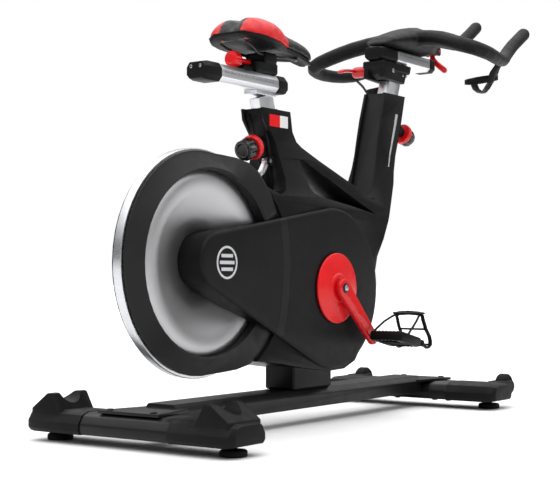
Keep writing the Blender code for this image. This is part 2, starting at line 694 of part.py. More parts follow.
def build_drive():
    place = (CRANK_X, 0, CRANK_Z)
    axle_end = CRANK_ARM_Y + 0.0020
    axle = [(0, -axle_end), (AXLE_R, -axle_end), (AXLE_R, axle_end), (0, axle_end)]
    make_object("crank_axle", lathe(axle, "Y", 24), STEEL, place)
    make_object("bottom_bracket", washer(AXLE_R + GAP, 0.0200, -0.0640, 0.0695, "Y", 28), STEEL, place)
    crank_pulley()
    disc_profile = [(AXLE_R + GAP, -0.0895), (0.030, -0.0895), (0.034, -0.0865), (0.076, -0.0850),
                    (0.079, -0.0835), (0.079, -0.0795), (AXLE_R + GAP, -0.0795)]
    make_object("crank_disc", lathe(disc_profile, "Y", 40, ring=True), RED, place)
    belt()
    crank_arm("crank_arm_right", -1)
    crank_arm("crank_arm_left", 1)


# ---------------------------------------------------------------- covers
def clearance_tool():
    """Space that the flywheel faces, shrouds and frame take under the guard."""
    edge = RIM_RIGHT - 0.0045
    centre = edge - RIGHT_DISH[-1][1]
    dish = [(0.0, centre)] + [(r, edge - h) for r, h in reversed(RIGHT_DISH[2:])]
    dish += [(0.180, edge - RIGHT_DISH[2][1]), (0.1845, -0.0707), (0.70, -0.0707), (0.70, 0.10), (0.0, 0.10)]
    return make_object("guard_clearance", lathe(dish, "Y", 60), None, (FLYWHEEL_X, 0, FLYWHEEL_Z))


def seam_curve(offset):
    """The guard's vertical joint, a shallow arc bulging forward."""
    radius = 0.42
    centre_x = -0.130 - radius
    return [(x + offset, z) for x, z in arc(centre_x, 0.350, radius, -26, 26, 10)]


def half_space(name, offset, forward):
    """A block that covers everything behind or in front of the guard's joint."""
    edge = seam_curve(offset)
    far = 0.6 if forward else -0.8
    outline = [(edge[0][0], 0.0)] + edge + [(edge[-1][0], 0.7), (far, 0.7), (far, 0.0)]
    return make_object(name, prism_y(outline, -0.2, 0.1), None)


def guard_shell(name, mat, y_face, tools):
    outer = make_object(name, prism_y(guard_outline(), y_face, -0.012), mat, smooth_angle=30)
    bevel(outer, 0.0045, 2, 50)
    cut(outer, *tools)
    return outer


def guard_hollow(name):
    return make_object(name, prism_y(guard_outline(-GUARD_WALL), GUARD_FACE_Y + GUARD_WALL, 0.05), None)


def build_guard():
    rear = guard_shell("belt_guard_rear", GUARD, GUARD_FACE_Y,
                       (guard_hollow("hollow_rear"), clearance_tool(), half_space("front_half", -0.0145, True)))
    front_hole = make_object("disc_hole", disc(0.0310, -0.12, 0.0, "Y", 32), None, (CRANK_X, 0, CRANK_Z))
    seat = make_object("disc_seat", disc(0.0825, -0.12, GUARD_FACE_Y + 0.0012, "Y", 44), None,
                       (CRANK_X, 0, CRANK_Z))
    front = guard_shell("belt_guard_front", GUARD, GUARD_FACE_Y,
                        (guard_hollow("hollow_front"), clearance_tool(), half_space("rear_half", 0.0145, False),
                         seat, front_hole))
    band = guard_shell("belt_guard_band", PLASTIC, GUARD_FACE_Y + 0.0010,
                       (guard_hollow("hollow_band"), clearance_tool(), half_space("band_front", 0.0142, True),
                        half_space("band_rear", -0.0142, False)))
    cap = [(AXLE_R + 0.004, 0.0703), (0.092, 0.0703), (0.095, 0.0740), (0.090, 0.0800), (0.030, 0.0860),
           (AXLE_R + 0.004, 0.0860)]
    make_object("left_crank_cover", lathe(cap, "Y", 32, ring=True), GUARD, (CRANK_X, 0, CRANK_Z))
    return rear, front, band


# ---------------------------------------------------------------- pedals
def pedal(side, label):
    arm_out = CRANK_ARM_Y + CRANK_ARM_THICK / 2
    x, _, z = pedal_place(side, 0)
    middle = CRANK_ARM_Y + 0.062
    spindle = [(0, CRANK_ARM_Y - 0.006), (0.0070, CRANK_ARM_Y - 0.006), (0.0070, arm_out + 0.001),
               (0.0095, arm_out + 0.0015), (0.0095, arm_out + 0.005), (0.0055, arm_out + 0.006),
               (0.0055, middle + 0.040), (0, middle + 0.040)]
    spindle = [(r, side * y) for r, y in spindle]
    make_object("pedal_spindle_" + label, lathe(spindle, "Y", 20), STEEL, (x, 0, z))
    tilt = (0, PEDAL_TILT, 0)
    body = make_object("pedal_body_" + label, box((0.090, 0.088, 0.022)), PLASTIC, (x, side * middle, z), tilt)
    bevel(body, 0.006, 2)
    bore = make_object("pedal_bore_" + label, disc(0.0060, -0.060, 0.0425, "Y", 16), None,
                       (x, side * middle, z), (0, 0, 0 if side > 0 else math.pi))
    tools = [bore]
    for k, sx in enumerate((-0.027, 0.027)):
        place = (x + sx * math.cos(PEDAL_TILT), side * middle, z - sx * math.sin(PEDAL_TILT))
        window = make_object("pedal_window_%s_%d" % (label, k), box((0.022, 0.056, 0.06)), None, place, tilt)
        tools.append(bevel(window, 0.004, 1))
    cut(body, *tools)
    toe_cage(side, label, x, middle, z)


def toe_cage(side, label, x, middle, z):
    """A cage over the shoe: side hoops that meet in a strap over the foot, a toe bar, a bridge and two stays."""
    cos, sin = math.cos(PEDAL_TILT), math.sin(PEDAL_TILT)
    up = Vector((sin, 0, cos))

    def at(dx, dy, dz):
        return x + dx * cos + dz * sin, side * (middle + dy), z - dx * sin + dz * cos

    cage = make_object("toe_cage_" + label, sweep([at(0.053, -0.041, 0), at(0.053, 0.041, 0)], (0.0048, 0.0085), 6,
                                                  up), PLASTIC)
    half = [(0.054, 0.036, 0.001), (0.080, 0.037, -0.006), (0.098, 0.036, 0.004), (0.090, 0.036, 0.022),
            (0.072, 0.035, 0.036), (0.056, 0.034, 0.056), (0.048, 0.028, 0.068)]
    hoop = [at(dx, dy, dz) for dx, dy, dz in half] + [at(dx, -dy, dz) for dx, dy, dz in reversed(half)]
    toe = [at(0.097, -0.036, 0.004), at(0.106, 0, 0.005), at(0.097, 0.036, 0.004)]
    bridge = [at(0.073, -0.035, 0.036), at(0.079, 0, 0.037), at(0.073, 0.035, 0.036)]
    strap = [at(0.047, -0.033, 0.0685), at(0.047, 0.033, 0.0685)]
    bars = [("hoop", catmull(hoop, 2), (0.0052, 0.0030)), ("toe", catmull(toe, 2), (0.0050, 0.0028)),
            ("bridge", bridge, (0.0050, 0.0026)), ("strap", strap, (0.0105, 0.0034))]
    for end, name in ((-1, "inner"), (1, "outer")):
        stay = [at(0.046, end * 0.030, 0.067), at(0.012, end * 0.042, 0.042), at(-0.028, end * 0.0480, 0.006)]
        bars.append((name + "_stay", catmull(stay, 2), (0.0030, 0.0024)))
    for part, path, radii in bars:
        join(cage, make_object("cage_%s_%s" % (part, label), sweep(path, radii, 6), None))
    return cage


# ---------------------------------------------------------------- saddle assembly
def rail_section():
    """Aluminium rail: chamfered top with a ruler face on each side."""
    low, high = SEAT_RAIL_Z
    half = [(0.018, low), (RAIL_HALF, low + 0.009), (RAIL_HALF, high - 0.011), (0.018, high)]
    return half + [(-y, z) for y, z in reversed(half)]


def seat_rail():
    rail = make_object("seat_rail", prism_x(rail_section(), *SEAT_RAIL_X), ALUMINIUM)
    slot = make_object("seat_rail_slot", box((0.16, 0.012, 0.012), (-0.188, 0, SEAT_RAIL_Z[1])), None)
    cut(rail, slot)
    return rail


def rail_cap(name, section, x_near, x_far, grow):
    mid_z = sum(z for _, z in section) / len(section)
    rings = []
    for t, scale in ((0.0, grow), (0.72, grow), (1.0, grow * 0.86)):
        x = x_near + (x_far - x_near) * t
        rings.append([(x, y * scale, mid_z + (z - mid_z) * scale) for y, z in section])
    return make_object(name, skin(rings), PLASTIC)


def seat_post():
    length = (SEAT_POST_TOP - SEAT_COLUMN_TOP) / math.cos(SEAT_LEAN) - 0.0100
    low = (SEAT_POST_LOW - SEAT_COLUMN_TOP) / math.cos(SEAT_LEAN)
    bm = prism_z(rounded_rectangle(*SEAT_POST_SIZE, 0.004, 2), low, length)
    post = make_object("seat_post", bm, ALUMINIUM, (SEAT_POST_X, 0, SEAT_COLUMN_TOP), (0, -SEAT_LEAN, 0))
    slot = box((0.0125, 0.0090, SEAT_TRAVEL + 0.009), (-0.02225, 0, -SEAT_PIN_DROP - SEAT_TRAVEL / 2))
    tool = make_object("seat_post_slot", slot, None, (SEAT_POST_X, 0, SEAT_COLUMN_TOP), (0, -SEAT_LEAN, 0))
    cut(post, tool)
    return post


def post_head():
    """The welded shoe that ties the seat post to its rail."""
    bm = box((0.070, 0.034, 0.0090), (-0.122, 0, SEAT_RAIL_Z[0] - 0.0048))
    return make_object("seat_post_head", bm, None)


def knob(name, place, lean, base, collar, cap_end, radius, mat):
    """A fluted hand knob on its pin; base, collar and cap_end are distances along its axis."""
    tip = 0.0175
    profile = [(0, tip), (0.0040, tip), (0.0040, base), (0.012, base), (0.012, collar),
               (radius, collar), (radius, collar + 0.013), (radius * 0.88, collar + 0.016),
               (radius * 0.90, cap_end - 0.005), (radius * 0.80, cap_end),
               (0, cap_end)]
    return make_object(name, lathe(profile, "X", 20), mat, place, (0, lean, 0))


def build_seat():
    join(seat_post(), post_head())
    seat_rail()
    rail_cap("seat_rail_cap_rear", rail_section(), SEAT_RAIL_X[0] - GAP, -0.343, 1.06)
    rail_cap("seat_rail_cap_front", rail_section(), SEAT_RAIL_X[1] + GAP, -0.050, 1.06)
    knob("seat_post_knob", seat_knob_place(), math.pi - SEAT_LEAN, 0.036, 0.060, 0.104, 0.027, RED)
    saddle_carriage()
    saddle()


def saddle_carriage():
    top = SEAT_RAIL_Z[1]
    bm = box((0.078, 0.046, 0.026), (-0.124, 0, top + 0.0005 + 0.013))
    block = make_object("saddle_carriage", bm, PLASTIC)
    bevel(block, 0.004, 1)
    tail = make_object("carriage_tail", box((0.040, 0.026, 0.012), (-0.176, 0, top + 0.0065)), None)
    bevel(tail, 0.002, 1)
    key = make_object("carriage_key", box((0.046, 0.0110, 0.012), (-0.135, 0, top - 0.0055 + 0.006)), None)
    join(block, tail, key)
    profile = [(0, -0.055), (0.006, -0.055), (0.006, -0.010), (0.0150, -0.008), (0.0175, -0.004),
               (0.0175, 0.012), (0.0150, 0.016), (0, 0.016)]
    screw_hole = make_object("carriage_screw_hole", disc(0.0064, -0.060, 0.000, "X", 16), None,
                             (-0.150, 0, top + 0.021))
    cut(block, screw_hole)
    make_object("saddle_knob", lathe([(r, -h) for r, h in profile], "X", 24), RED, (-0.212, 0, top + 0.021))
    clamp = make_object("saddle_clamp", box((0.044, 0.058, 0.024), (-0.118, 0, top + 0.0340)), None)
    join(block, bevel(clamp, 0.004, 1))
    for side in (-1, 1):
        cut(block, make_object("clamp_groove_%d" % side, disc(0.0040, -0.06, 0.06, "X", 10), None,
                               (-0.118, side * 0.022, top + 0.0400)))


SADDLE_STATIONS = (
    # x, half width, top z, edge z
    (-0.236, 0.040, 0.856, 0.842),
    (-0.226, 0.062, 0.870, 0.836),
    (-0.205, 0.076, 0.880, 0.832),
    (-0.175, 0.080, 0.884, 0.828),
    (-0.140, 0.074, 0.884, 0.824),
    (-0.105, 0.058, 0.881, 0.824),
    (-0.070, 0.040, 0.876, 0.826),
    (-0.035, 0.028, 0.871, 0.828),
    (0.000, 0.023, 0.866, 0.826),
    (0.030, 0.021, 0.857, 0.820),
    (0.050, 0.017, 0.846, 0.816),
    (0.060, 0.009, 0.834, 0.816),
)


def saddle_ring(x, half, top, edge, count=16):
    ring = []
    for k in range(count):
        a = 2 * math.pi * k / count
        y = half * math.copysign(abs(math.cos(a)) ** 0.75, math.cos(a))
        if math.sin(a) >= 0:
            z = edge + 0.004 + (top - edge - 0.004) * math.sin(a) ** 0.8
            z -= 0.005 * math.exp(-(y / 0.012) ** 2)
        else:
            z = edge + 0.004
        ring.append((x, y, z))
    return ring


def saddle():
    pad = skin([saddle_ring(*s) for s in SADDLE_STATIONS])
    make_object("saddle_cushion", pad, UPHOLSTERY, smooth_angle=60)
    rings = []
    for x, half, _, edge in SADDLE_STATIONS:
        y = half * 0.97
        rings.append([(x, y, edge + 0.0018), (x, -y, edge + 0.0018), (x, -y * 0.92, edge - 0.006),
                      (x, -y * 0.5, edge - 0.0035), (x, y * 0.5, edge - 0.0035), (x, y * 0.92, edge - 0.006)])
    make_object("saddle_shell", skin(rings), PLASTIC)
    clamp_z = SEAT_RAIL_Z[1] + 0.0400
    half = [(-0.215, 0.034, 0.8230), (-0.195, 0.033, 0.8165), (-0.165, 0.024, clamp_z + 0.001),
            (-0.145, 0.022, clamp_z), (-0.090, 0.022, clamp_z), (-0.050, 0.020, 0.8120), (0.000, 0.010, 0.8165)]
    other = [(x, -y, z) for x, y, z in reversed(half)]
    wire = sweep(catmull(half + [(0.008, 0.0, 0.8175)] + other, 2), (0.0035, 0.0035), 6)
    make_object("saddle_rails", wire, DARK_STEEL)


# ---------------------------------------------------------------- handlebar assembly
def bar_rail_section():
    low, high = BAR_RAIL_Z
    half = [(0.018, low), (RAIL_HALF, low + 0.008), (RAIL_HALF, high - 0.004), (0.022, high)]
    return half + [(-y, z) for y, z in reversed(half)]


def bar_post():
    bm = prism_z(rounded_rectangle(*BAR_POST_SIZE, 0.004, 2),
                 (BAR_POST_LOW - BAR_COLUMN_TOP) / math.cos(BAR_LEAN),
                 (BAR_POST_TOP - BAR_COLUMN_TOP) / math.cos(BAR_LEAN))
    post = make_object("handlebar_post", bm, ALUMINIUM, (BAR_POST_X, 0, BAR_COLUMN_TOP), (0, BAR_LEAN, 0))
    slot = box((0.0125, 0.0090, BAR_TRAVEL + 0.009), (0.02225, 0, -BAR_PIN_DROP - BAR_TRAVEL / 2))
    tool = make_object("handlebar_post_slot", slot, None, (BAR_POST_X, 0, BAR_COLUMN_TOP), (0, BAR_LEAN, 0))
    cut(post, tool)
    return post


def bar_bracket():
    """The clamp head welded on the handlebar post: a saddle under the rail with two side plates."""
    outline = [(0.392, 0.8425), (0.478, 0.8425), (0.486, 0.8646), (0.346, 0.8646), (0.346, 0.850), (0.360, 0.832),
               (0.392, 0.822)]
    bm = prism_y(outline, -0.0305, 0.0305)
    bracket = make_object("bracket_head", bm, None)
    bevel(bracket, 0.003, 1)
    for side in (-1, 1):
        plate = [(0.346, 0.822), (0.452, 0.816), (0.470, 0.858), (0.352, 0.860)]
        cheek = make_object("bracket_cheek_%d" % side,
                            prism_y(plate, side * 0.0158, side * 0.0290), None)
        join(bracket, bevel(cheek, 0.002, 1))
    px, _, pz = QUICK_PIVOT
    return cut(bracket, make_object("quick_bore", disc(0.0045, 0.0080, 0.060, "Y", 12), None, (px, 0, pz)))


def quick_release():
    profile = [(0, -0.0450), (0.0040, -0.0450), (0.0040, -0.0245), (0.0130, -0.0245), (0.0140, -0.0230),
               (0.0140, 0.020), (0.0120, 0.024), (0, 0.024)]
    lever = make_object("quick_release_lever", lathe(profile, "Y", 20), RED_METAL, QUICK_PIVOT)
    px, py, pz = QUICK_PIVOT
    handle = sweep(catmull([(px, py + 0.010, pz), (px - 0.017, py + 0.016, pz + 0.002),
                            (px - 0.044, py + 0.022, pz), (px - 0.066, py + 0.024, pz - 0.005)], 2),
                   (0.0075, 0.0045), 8)
    join(lever, make_object("lever_blade", handle, None))
    return lever


def handlebar_side_path(side):
    """Crossbar, elbow and rising outer grip of one side."""
    return catmull([(0.500, 0.0, 0.938), (0.488, side * 0.060, 0.936), (0.462, side * 0.130, 0.922),
                    (0.436, side * 0.190, 0.900), (0.436, side * 0.236, 0.884), (0.478, side * 0.252, 0.875),
                    (0.540, side * 0.244, 0.872), (0.610, side * 0.224, 0.880), (0.665, side * 0.206, 0.902),
                    (0.720, side * 0.200, 0.936), (0.793, side * 0.198, 0.978)], 2)


def grip(side, grow=0.0):
    """The foam covered bar of one side, thickest at the middle."""
    path = handlebar_side_path(side)
    radii = []
    for i in range(len(path)):
        t = i / (len(path) - 1)
        fat = 0.0235 - 0.006 * min(1.0, t / 0.6) + grow
        radii.append((fat, fat * 0.95))
    return sweep(path, radii, 10)


def handlebar():
    rings = []
    for x, half, low, top in ((0.362, 0.026, 0.904, 0.912), (0.385, 0.044, 0.904, 0.930),
                              (0.425, 0.055, 0.904, 0.947), (0.475, 0.060, 0.904, 0.964),
                              (0.527, 0.058, 0.904, 0.976), (0.580, 0.050, 0.906, 0.975),
                              (0.612, 0.040, 0.912, 0.966), (0.626, 0.030, 0.920, 0.958)):
        ring = []
        for k in range(16):
            a = 2 * math.pi * k / 16
            mid = (low + top) / 2
            ring.append((x, half * math.cos(a), mid + (top - low) / 2 * math.sin(a)))
        rings.append(ring)
    hub = make_object("handlebar", skin(rings), SOFT_GRIP, smooth_angle=60)
    bars = []
    for side, label in ((1, "left"), (-1, "right")):
        bars.append(make_object("grip_" + label, grip(side), None, smooth_angle=60))
        horn = catmull([(0.482, side * 0.080, 0.932), (0.590, side * 0.100, 0.930), (0.640, side * 0.100, 0.950),
                        (0.708, side * 0.100, 0.993)], 2)
        bars.append(make_object("horn_" + label, sweep(horn, (0.0165, 0.0165), 10), None))
    px, _, pz = LEVER_PIVOT
    mount = make_object("lever_mount", box((0.070, 0.042, 0.026), (px - 0.023, 0, pz)), None)
    join(hub, *bars, bevel(mount, 0.004, 1))
    fork = make_object("lever_fork", box((0.056, 0.0268, 0.060), (px + 0.014, 0, pz)), None)
    cut(hub, fork, make_object("lever_bore", disc(0.0045, -0.04, 0.04, "Y", 12), None, LEVER_PIVOT))
    return hub


def bottle_holder(side, label):
    """An open cage beside the grip: a hoop, a floor bar across it and a raised front tongue."""
    x, y, z = 0.638, side * 0.150, 0.852
    hoop = [(x + 0.045 * math.cos(a), y + 0.040 * math.sin(a), z - 0.012 + 0.012 * math.cos(a))
            for a in [2 * math.pi * k / 14 for k in range(14)]]
    rings = []
    for k, point in enumerate(hoop):
        out = (Vector(point) - Vector((x, y, point[2]))).normalized()
        rings.append([Vector(point) + out * a + Vector((0, 0, b))
                      for a, b in ((-0.0025, -0.006), (0.0025, -0.006), (0.0025, 0.006), (-0.0025, 0.006))])
    holder = make_object("bottle_holder_" + label, skin(rings, closed=True), PLASTIC)
    floor_bar = catmull([(x - 0.044, y, z - 0.022), (x - 0.030, y, z - 0.040), (x + 0.010, y, z - 0.044),
                         (x + 0.045, y, z - 0.018), (x + 0.075, y, z + 0.010), (x + 0.100, y, z + 0.045)], 2)
    stay = catmull([(x - 0.020, y + side * 0.036, z - 0.020), (x - 0.026, y + side * 0.046, z - 0.002),
                    (x - 0.030, side * 0.212, z + 0.014)], 2)
    join(holder, make_object("holder_floor_" + label, sweep(floor_bar, (0.010, 0.0028), 6), None),
         make_object("holder_stay_" + label, sweep(stay, (0.010, 0.0030), 6), None))
    cut(holder, make_object("grip_way_" + label, grip(side, 0.0006), None))
    return holder


def resistance_lever():
    """A lever that hangs on a pin under the front of the bar and pulls the magnets to the flywheel."""
    boss = make_object("resistance_lever", disc(0.011, -0.013, 0.013, "Y", 20), RED, LEVER_PIVOT)
    px, _, pz = LEVER_PIVOT
    blade = sweep(catmull([(px, 0, pz), (px - 0.004, -0.001, pz - 0.018), (px - 0.004, -0.014, pz - 0.034),
                           (px + 0.002, -0.034, pz - 0.052)], 2), (0.0080, 0.0050), 8)
    pin = make_object("lever_pin", disc(0.0040, -0.0200, 0.0200, "Y", 12), None, LEVER_PIVOT)
    join(boss, pin, make_object("lever_arm", blade, None))
    return boss


def ribbon(path, half):
    """Outline of a flat bar of even width along a path of (x, z) points."""
    left, right = [], []
    last = len(path) - 1
    for i, (x, z) in enumerate(path):
        x0, z0 = path[max(i - 1, 0)]
        x1, z1 = path[min(i + 1, last)]
        length = math.hypot(x1 - x0, z1 - z0)
        nx, nz = (z0 - z1) / length * half, (x1 - x0) / length * half
        left.append((x + nx, z + nz))
        right.append((x - nx, z - nz))
    return left + list(reversed(right))


def magnet_brake():
    """A curved arm on a pin that swings a magnet shoe over the flywheel's rim."""
    px, _, pz = BRAKE_PIVOT
    shoe = []
    for radius, sweep_range in ((FLYWHEEL_R + 0.0020, (47, 64)), (FLYWHEEL_R + 0.0100, (64, 47))):
        shoe += arc(FLYWHEEL_X, FLYWHEEL_Z, radius, *sweep_range, 4)
    brake = make_object("magnet_brake", prism_y(shoe, -0.0250, -0.0038), ALUMINIUM)
    end = math.radians(51)
    reach = FLYWHEEL_R + 0.0060
    path = [(px, pz), (px - 0.016, pz - 0.024), (px - 0.040, pz - 0.038),
            (FLYWHEEL_X + reach * math.cos(end), FLYWHEEL_Z + reach * math.sin(end))]
    arm = prism_y(ribbon(path, 0.0042), -0.0215, -0.0075)
    boss = disc(0.0075, -0.0225, -0.0055, "Y", 16)
    pin = disc(0.0040, -0.0270, -0.0010, "Y", 12)
    join(brake, make_object("brake_arm", arm, None), make_object("brake_boss", boss, None, (px, 0, pz)),
         make_object("brake_pin", pin, None, (px, 0, pz)))
    return brake


def build_handlebar():
    join(bar_post(), bar_bracket())
    rail = make_object("handlebar_rail", prism_x(bar_rail_section(), *BAR_RAIL_X), ALUMINIUM)
    rail_cap("handlebar_rail_cap_rear", bar_rail_section(), BAR_RAIL_X[0] - GAP, 0.345, 1.04)
    rail_cap("handlebar_rail_cap_front", bar_rail_section(), BAR_RAIL_X[1] + GAP, 0.620, 1.04)
    knob("handlebar_post_knob", bar_knob_place(), BAR_LEAN, 0.0400, 0.090, 0.128, 0.026, RED)
    quick_release()
    handlebar()
    resistance_lever()
    magnet_brake()
    for side, label in ((1, "left"), (-1, "right")):
        bottle_holder(side, label)
    return rail


build_base()
build_frame()
build_shrouds()
build_flywheel()
build_drive()
build_guard()
pedal(-1, "right")
pedal(1, "left")
build_seat()
build_handlebar()
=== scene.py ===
import json
import math

import bmesh
import bpy
import numpy as np
from mathutils import Matrix, Vector
from mathutils.bvhtree import BVHTree


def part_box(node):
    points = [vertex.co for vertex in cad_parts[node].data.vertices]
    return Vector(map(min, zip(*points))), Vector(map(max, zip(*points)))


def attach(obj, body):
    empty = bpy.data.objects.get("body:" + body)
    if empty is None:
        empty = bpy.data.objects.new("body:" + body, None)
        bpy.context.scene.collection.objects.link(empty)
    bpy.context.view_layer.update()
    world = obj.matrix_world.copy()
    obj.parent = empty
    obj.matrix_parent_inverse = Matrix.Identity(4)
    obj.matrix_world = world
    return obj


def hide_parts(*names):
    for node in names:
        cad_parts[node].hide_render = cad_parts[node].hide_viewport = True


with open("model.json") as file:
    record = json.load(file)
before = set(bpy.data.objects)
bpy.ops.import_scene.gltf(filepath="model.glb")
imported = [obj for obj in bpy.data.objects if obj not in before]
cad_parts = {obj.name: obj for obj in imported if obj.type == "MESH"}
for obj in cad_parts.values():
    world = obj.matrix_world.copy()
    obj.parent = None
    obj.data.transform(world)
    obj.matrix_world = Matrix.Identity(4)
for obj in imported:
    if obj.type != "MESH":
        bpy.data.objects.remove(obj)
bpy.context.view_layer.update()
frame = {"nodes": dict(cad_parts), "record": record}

BODY_OF = {node: body for body, nodes in frame["record"]["behaviour"]["bodies"].items() for node in nodes}
X, Y, Z = Vector((1, 0, 0)), Vector((0, 1, 0)), Vector((0, 0, 1))


def middle(node):
    low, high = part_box(node)
    return (low + high) / 2


FLYWHEEL = middle("flywheel")
CRANK = middle("crank_axle")
SEAT_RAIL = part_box("seat_rail")
SEAT_PIN_LEAN, BAR_PIN_LEAN = math.radians(17.0), math.radians(20.5)
BAR_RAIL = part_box("handlebar_rail")
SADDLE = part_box("saddle_cushion")


# ---------------------------------------------------------------- materials
class Shader:
    """A principled material and a short way to add nodes to it."""

    def __init__(self, name, roughness=0.4, metallic=0.0, **sockets):
        self.material = bpy.data.materials.new(name)
        self.material.use_nodes = True
        self.tree = self.material.node_tree
        self.tree.nodes.clear()
        output = self.tree.nodes.new("ShaderNodeOutputMaterial")
        self.bsdf = self.tree.nodes.new("ShaderNodeBsdfPrincipled")
        self.tree.links.new(self.bsdf.outputs[0], output.inputs[0])
        self.bsdf.inputs["Roughness"].default_value = roughness
        self.bsdf.inputs["Metallic"].default_value = metallic
        for socket, value in sockets.items():
            self.bsdf.inputs[socket.replace("_", " ")].default_value = value
        self.place = self.add("ShaderNodeTexCoord").outputs["Object"]

    def add(self, kind, inputs=(), **settings):
        node = self.tree.nodes.new(kind)
        for key, value in settings.items():
            setattr(node, key, value)
        for key, value in dict(inputs).items():
            if isinstance(value, bpy.types.NodeSocket):
                self.tree.links.new(value, node.inputs[key])
            else:
                node.inputs[key].default_value = value
        return node

    def set(self, socket, source):
        self.tree.links.new(source, self.bsdf.inputs[socket])

    def maths(self, operation, *values):
        return self.add("ShaderNodeMath", enumerate(values), operation=operation).outputs[0]

    def stretched(self, scale):
        return self.add("ShaderNodeMapping", {"Vector": self.place, "Scale": scale}).outputs[0]

    def noise(self, scale, detail=3.0, stretch=None):
        where = self.stretched(stretch) if stretch else self.place
        return self.add("ShaderNodeTexNoise", {"Vector": where, "Scale": scale, "Detail": detail}).outputs[0]

    def spread(self, value, low, high, start=0.3, end=0.7):
        return self.add("ShaderNodeMapRange", {0: value, 1: start, 2: end, 3: low, 4: high}).outputs[0]

    def mix(self, factor, first, second):
        inputs = {0: factor, 6: first, 7: second}
        return self.add("ShaderNodeMix", inputs, data_type="RGBA").outputs[2]

    def bump(self, height, strength, distance=0.0005, normal=None):
        inputs = {"Height": height, "Strength": strength, "Distance": distance}
        if normal:
            inputs["Normal"] = normal
        return self.add("ShaderNodeBump", inputs).outputs[0]


def rgba(colour, factor=1.0):
    return (*[min(1.0, c * factor) for c in colour], 1.0)


def painted(name, colour, rough=(0.32, 0.44), peel=420.0, peel_depth=0.10, wear=0.35, **sockets):
    """Powder-coated metal: fine orange peel, faint cloudiness and rubbed edges."""
    s = Shader(name, **sockets)
    cloud = s.noise(7.0, 4.0)
    base = s.mix(s.spread(cloud, 0.0, 1.0), rgba(colour, 0.88), rgba(colour, 1.12))
    geometry = s.add("ShaderNodeNewGeometry")
    edge = s.spread(geometry.outputs["Pointiness"], 0.0, wear, 0.53, 0.62)
    rubbed = s.maths("MULTIPLY", edge, s.spread(s.noise(60.0), 0.0, 1.0))
    s.set("Base Color", s.mix(rubbed, base, rgba(colour, 3.2)))
    s.set("Roughness", s.spread(s.noise(40.0, 5.0), *rough))
    s.set("Normal", s.bump(s.noise(peel, 2.0), peel_depth, 0.0004))
    return s.material


def moulded(name, colour, rough=(0.42, 0.56), grain=900.0, depth=0.25, **sockets):
    """Moulded plastic with a spark-eroded grain."""
    s = Shader(name, **sockets)
    cloud = s.noise(11.0, 4.0)
    speck = s.noise(260.0, 2.0)
    base = s.mix(s.spread(cloud, 0.0, 1.0), rgba(colour, 0.86), rgba(colour, 1.14))
    s.set("Base Color", s.mix(s.spread(speck, 0.0, 0.35, 0.55, 0.75), base, rgba(colour, 1.5)))
    s.set("Roughness", s.spread(s.noise(55.0, 5.0), *rough))
    s.set("Normal", s.bump(s.noise(grain, 2.0), depth, 0.0003))
    return s.material


def brushed(name, colour, stretch, rough=(0.26, 0.42), depth=0.12, metallic=1.0, **sockets):
    """Metal brushed in one direction, with handling marks."""
    s = Shader(name, metallic=metallic, **sockets)
    lines = s.noise(1.0, 6.0, stretch)
    smudge = s.noise(14.0, 5.0)
    s.set("Base Color", s.mix(s.spread(lines, 0.0, 1.0), rgba(colour, 0.90), rgba(colour, 1.08)))
    both = s.maths("ADD", s.maths("MULTIPLY", lines, 0.6), s.maths("MULTIPLY", smudge, 0.4))
    s.set("Roughness", s.spread(both, *rough))
    s.set("Normal", s.bump(lines, depth, 0.0002))
    return s.material


def spun(name, colour, centre, rings=900.0, rough=(0.24, 0.36), depth=0.06, metallic=1.0):
    """Metal turned about the Y axis: fine circular tool marks."""
    s = Shader(name, metallic=metallic)
    from_centre = s.add("ShaderNodeVectorMath", {0: s.place, 1: centre}, operation="SUBTRACT").outputs[0]
    flat = s.add("ShaderNodeVectorMath", {0: from_centre, 1: (1, 0, 1)}, operation="MULTIPLY").outputs[0]
    radius = s.add("ShaderNodeVectorMath", {0: flat}, operation="LENGTH").outputs["Value"]
    marks = s.add("ShaderNodeTexNoise", {"W": radius, "Scale": rings, "Detail": 5.0},
                  noise_dimensions="1D").outputs[0]
    s.set("Base Color", s.mix(s.spread(marks, 0.0, 1.0), rgba(colour, 0.95), rgba(colour, 1.04)))
    both = s.maths("ADD", s.maths("MULTIPLY", marks, 0.5), s.maths("MULTIPLY", s.noise(9.0, 4.0), 0.5))
    s.set("Roughness", s.spread(both, *rough))
    s.set("Normal", s.bump(marks, depth, 0.0002))
    return s.material


def foam(name, colour, rough=(0.50, 0.62)):
    """Self-skinned grip foam: a leathery skin with pores."""
    s = Shader(name, Specular_IOR_Level=0.18)
    pores = s.add("ShaderNodeTexVoronoi", {"Vector": s.place, "Scale": 650.0}, feature="F1").outputs[0]
    cloud = s.noise(16.0, 4.0)
    s.set("Base Color", s.mix(s.spread(cloud, 0.0, 1.0), rgba(colour, 0.85), rgba(colour, 1.2)))
    s.set("Roughness", s.spread(s.noise(70.0, 5.0), *rough))
    s.set("Normal", s.bump(pores, 0.22, 0.0004, s.bump(s.noise(240.0), 0.10, 0.0006)))
    return s.material


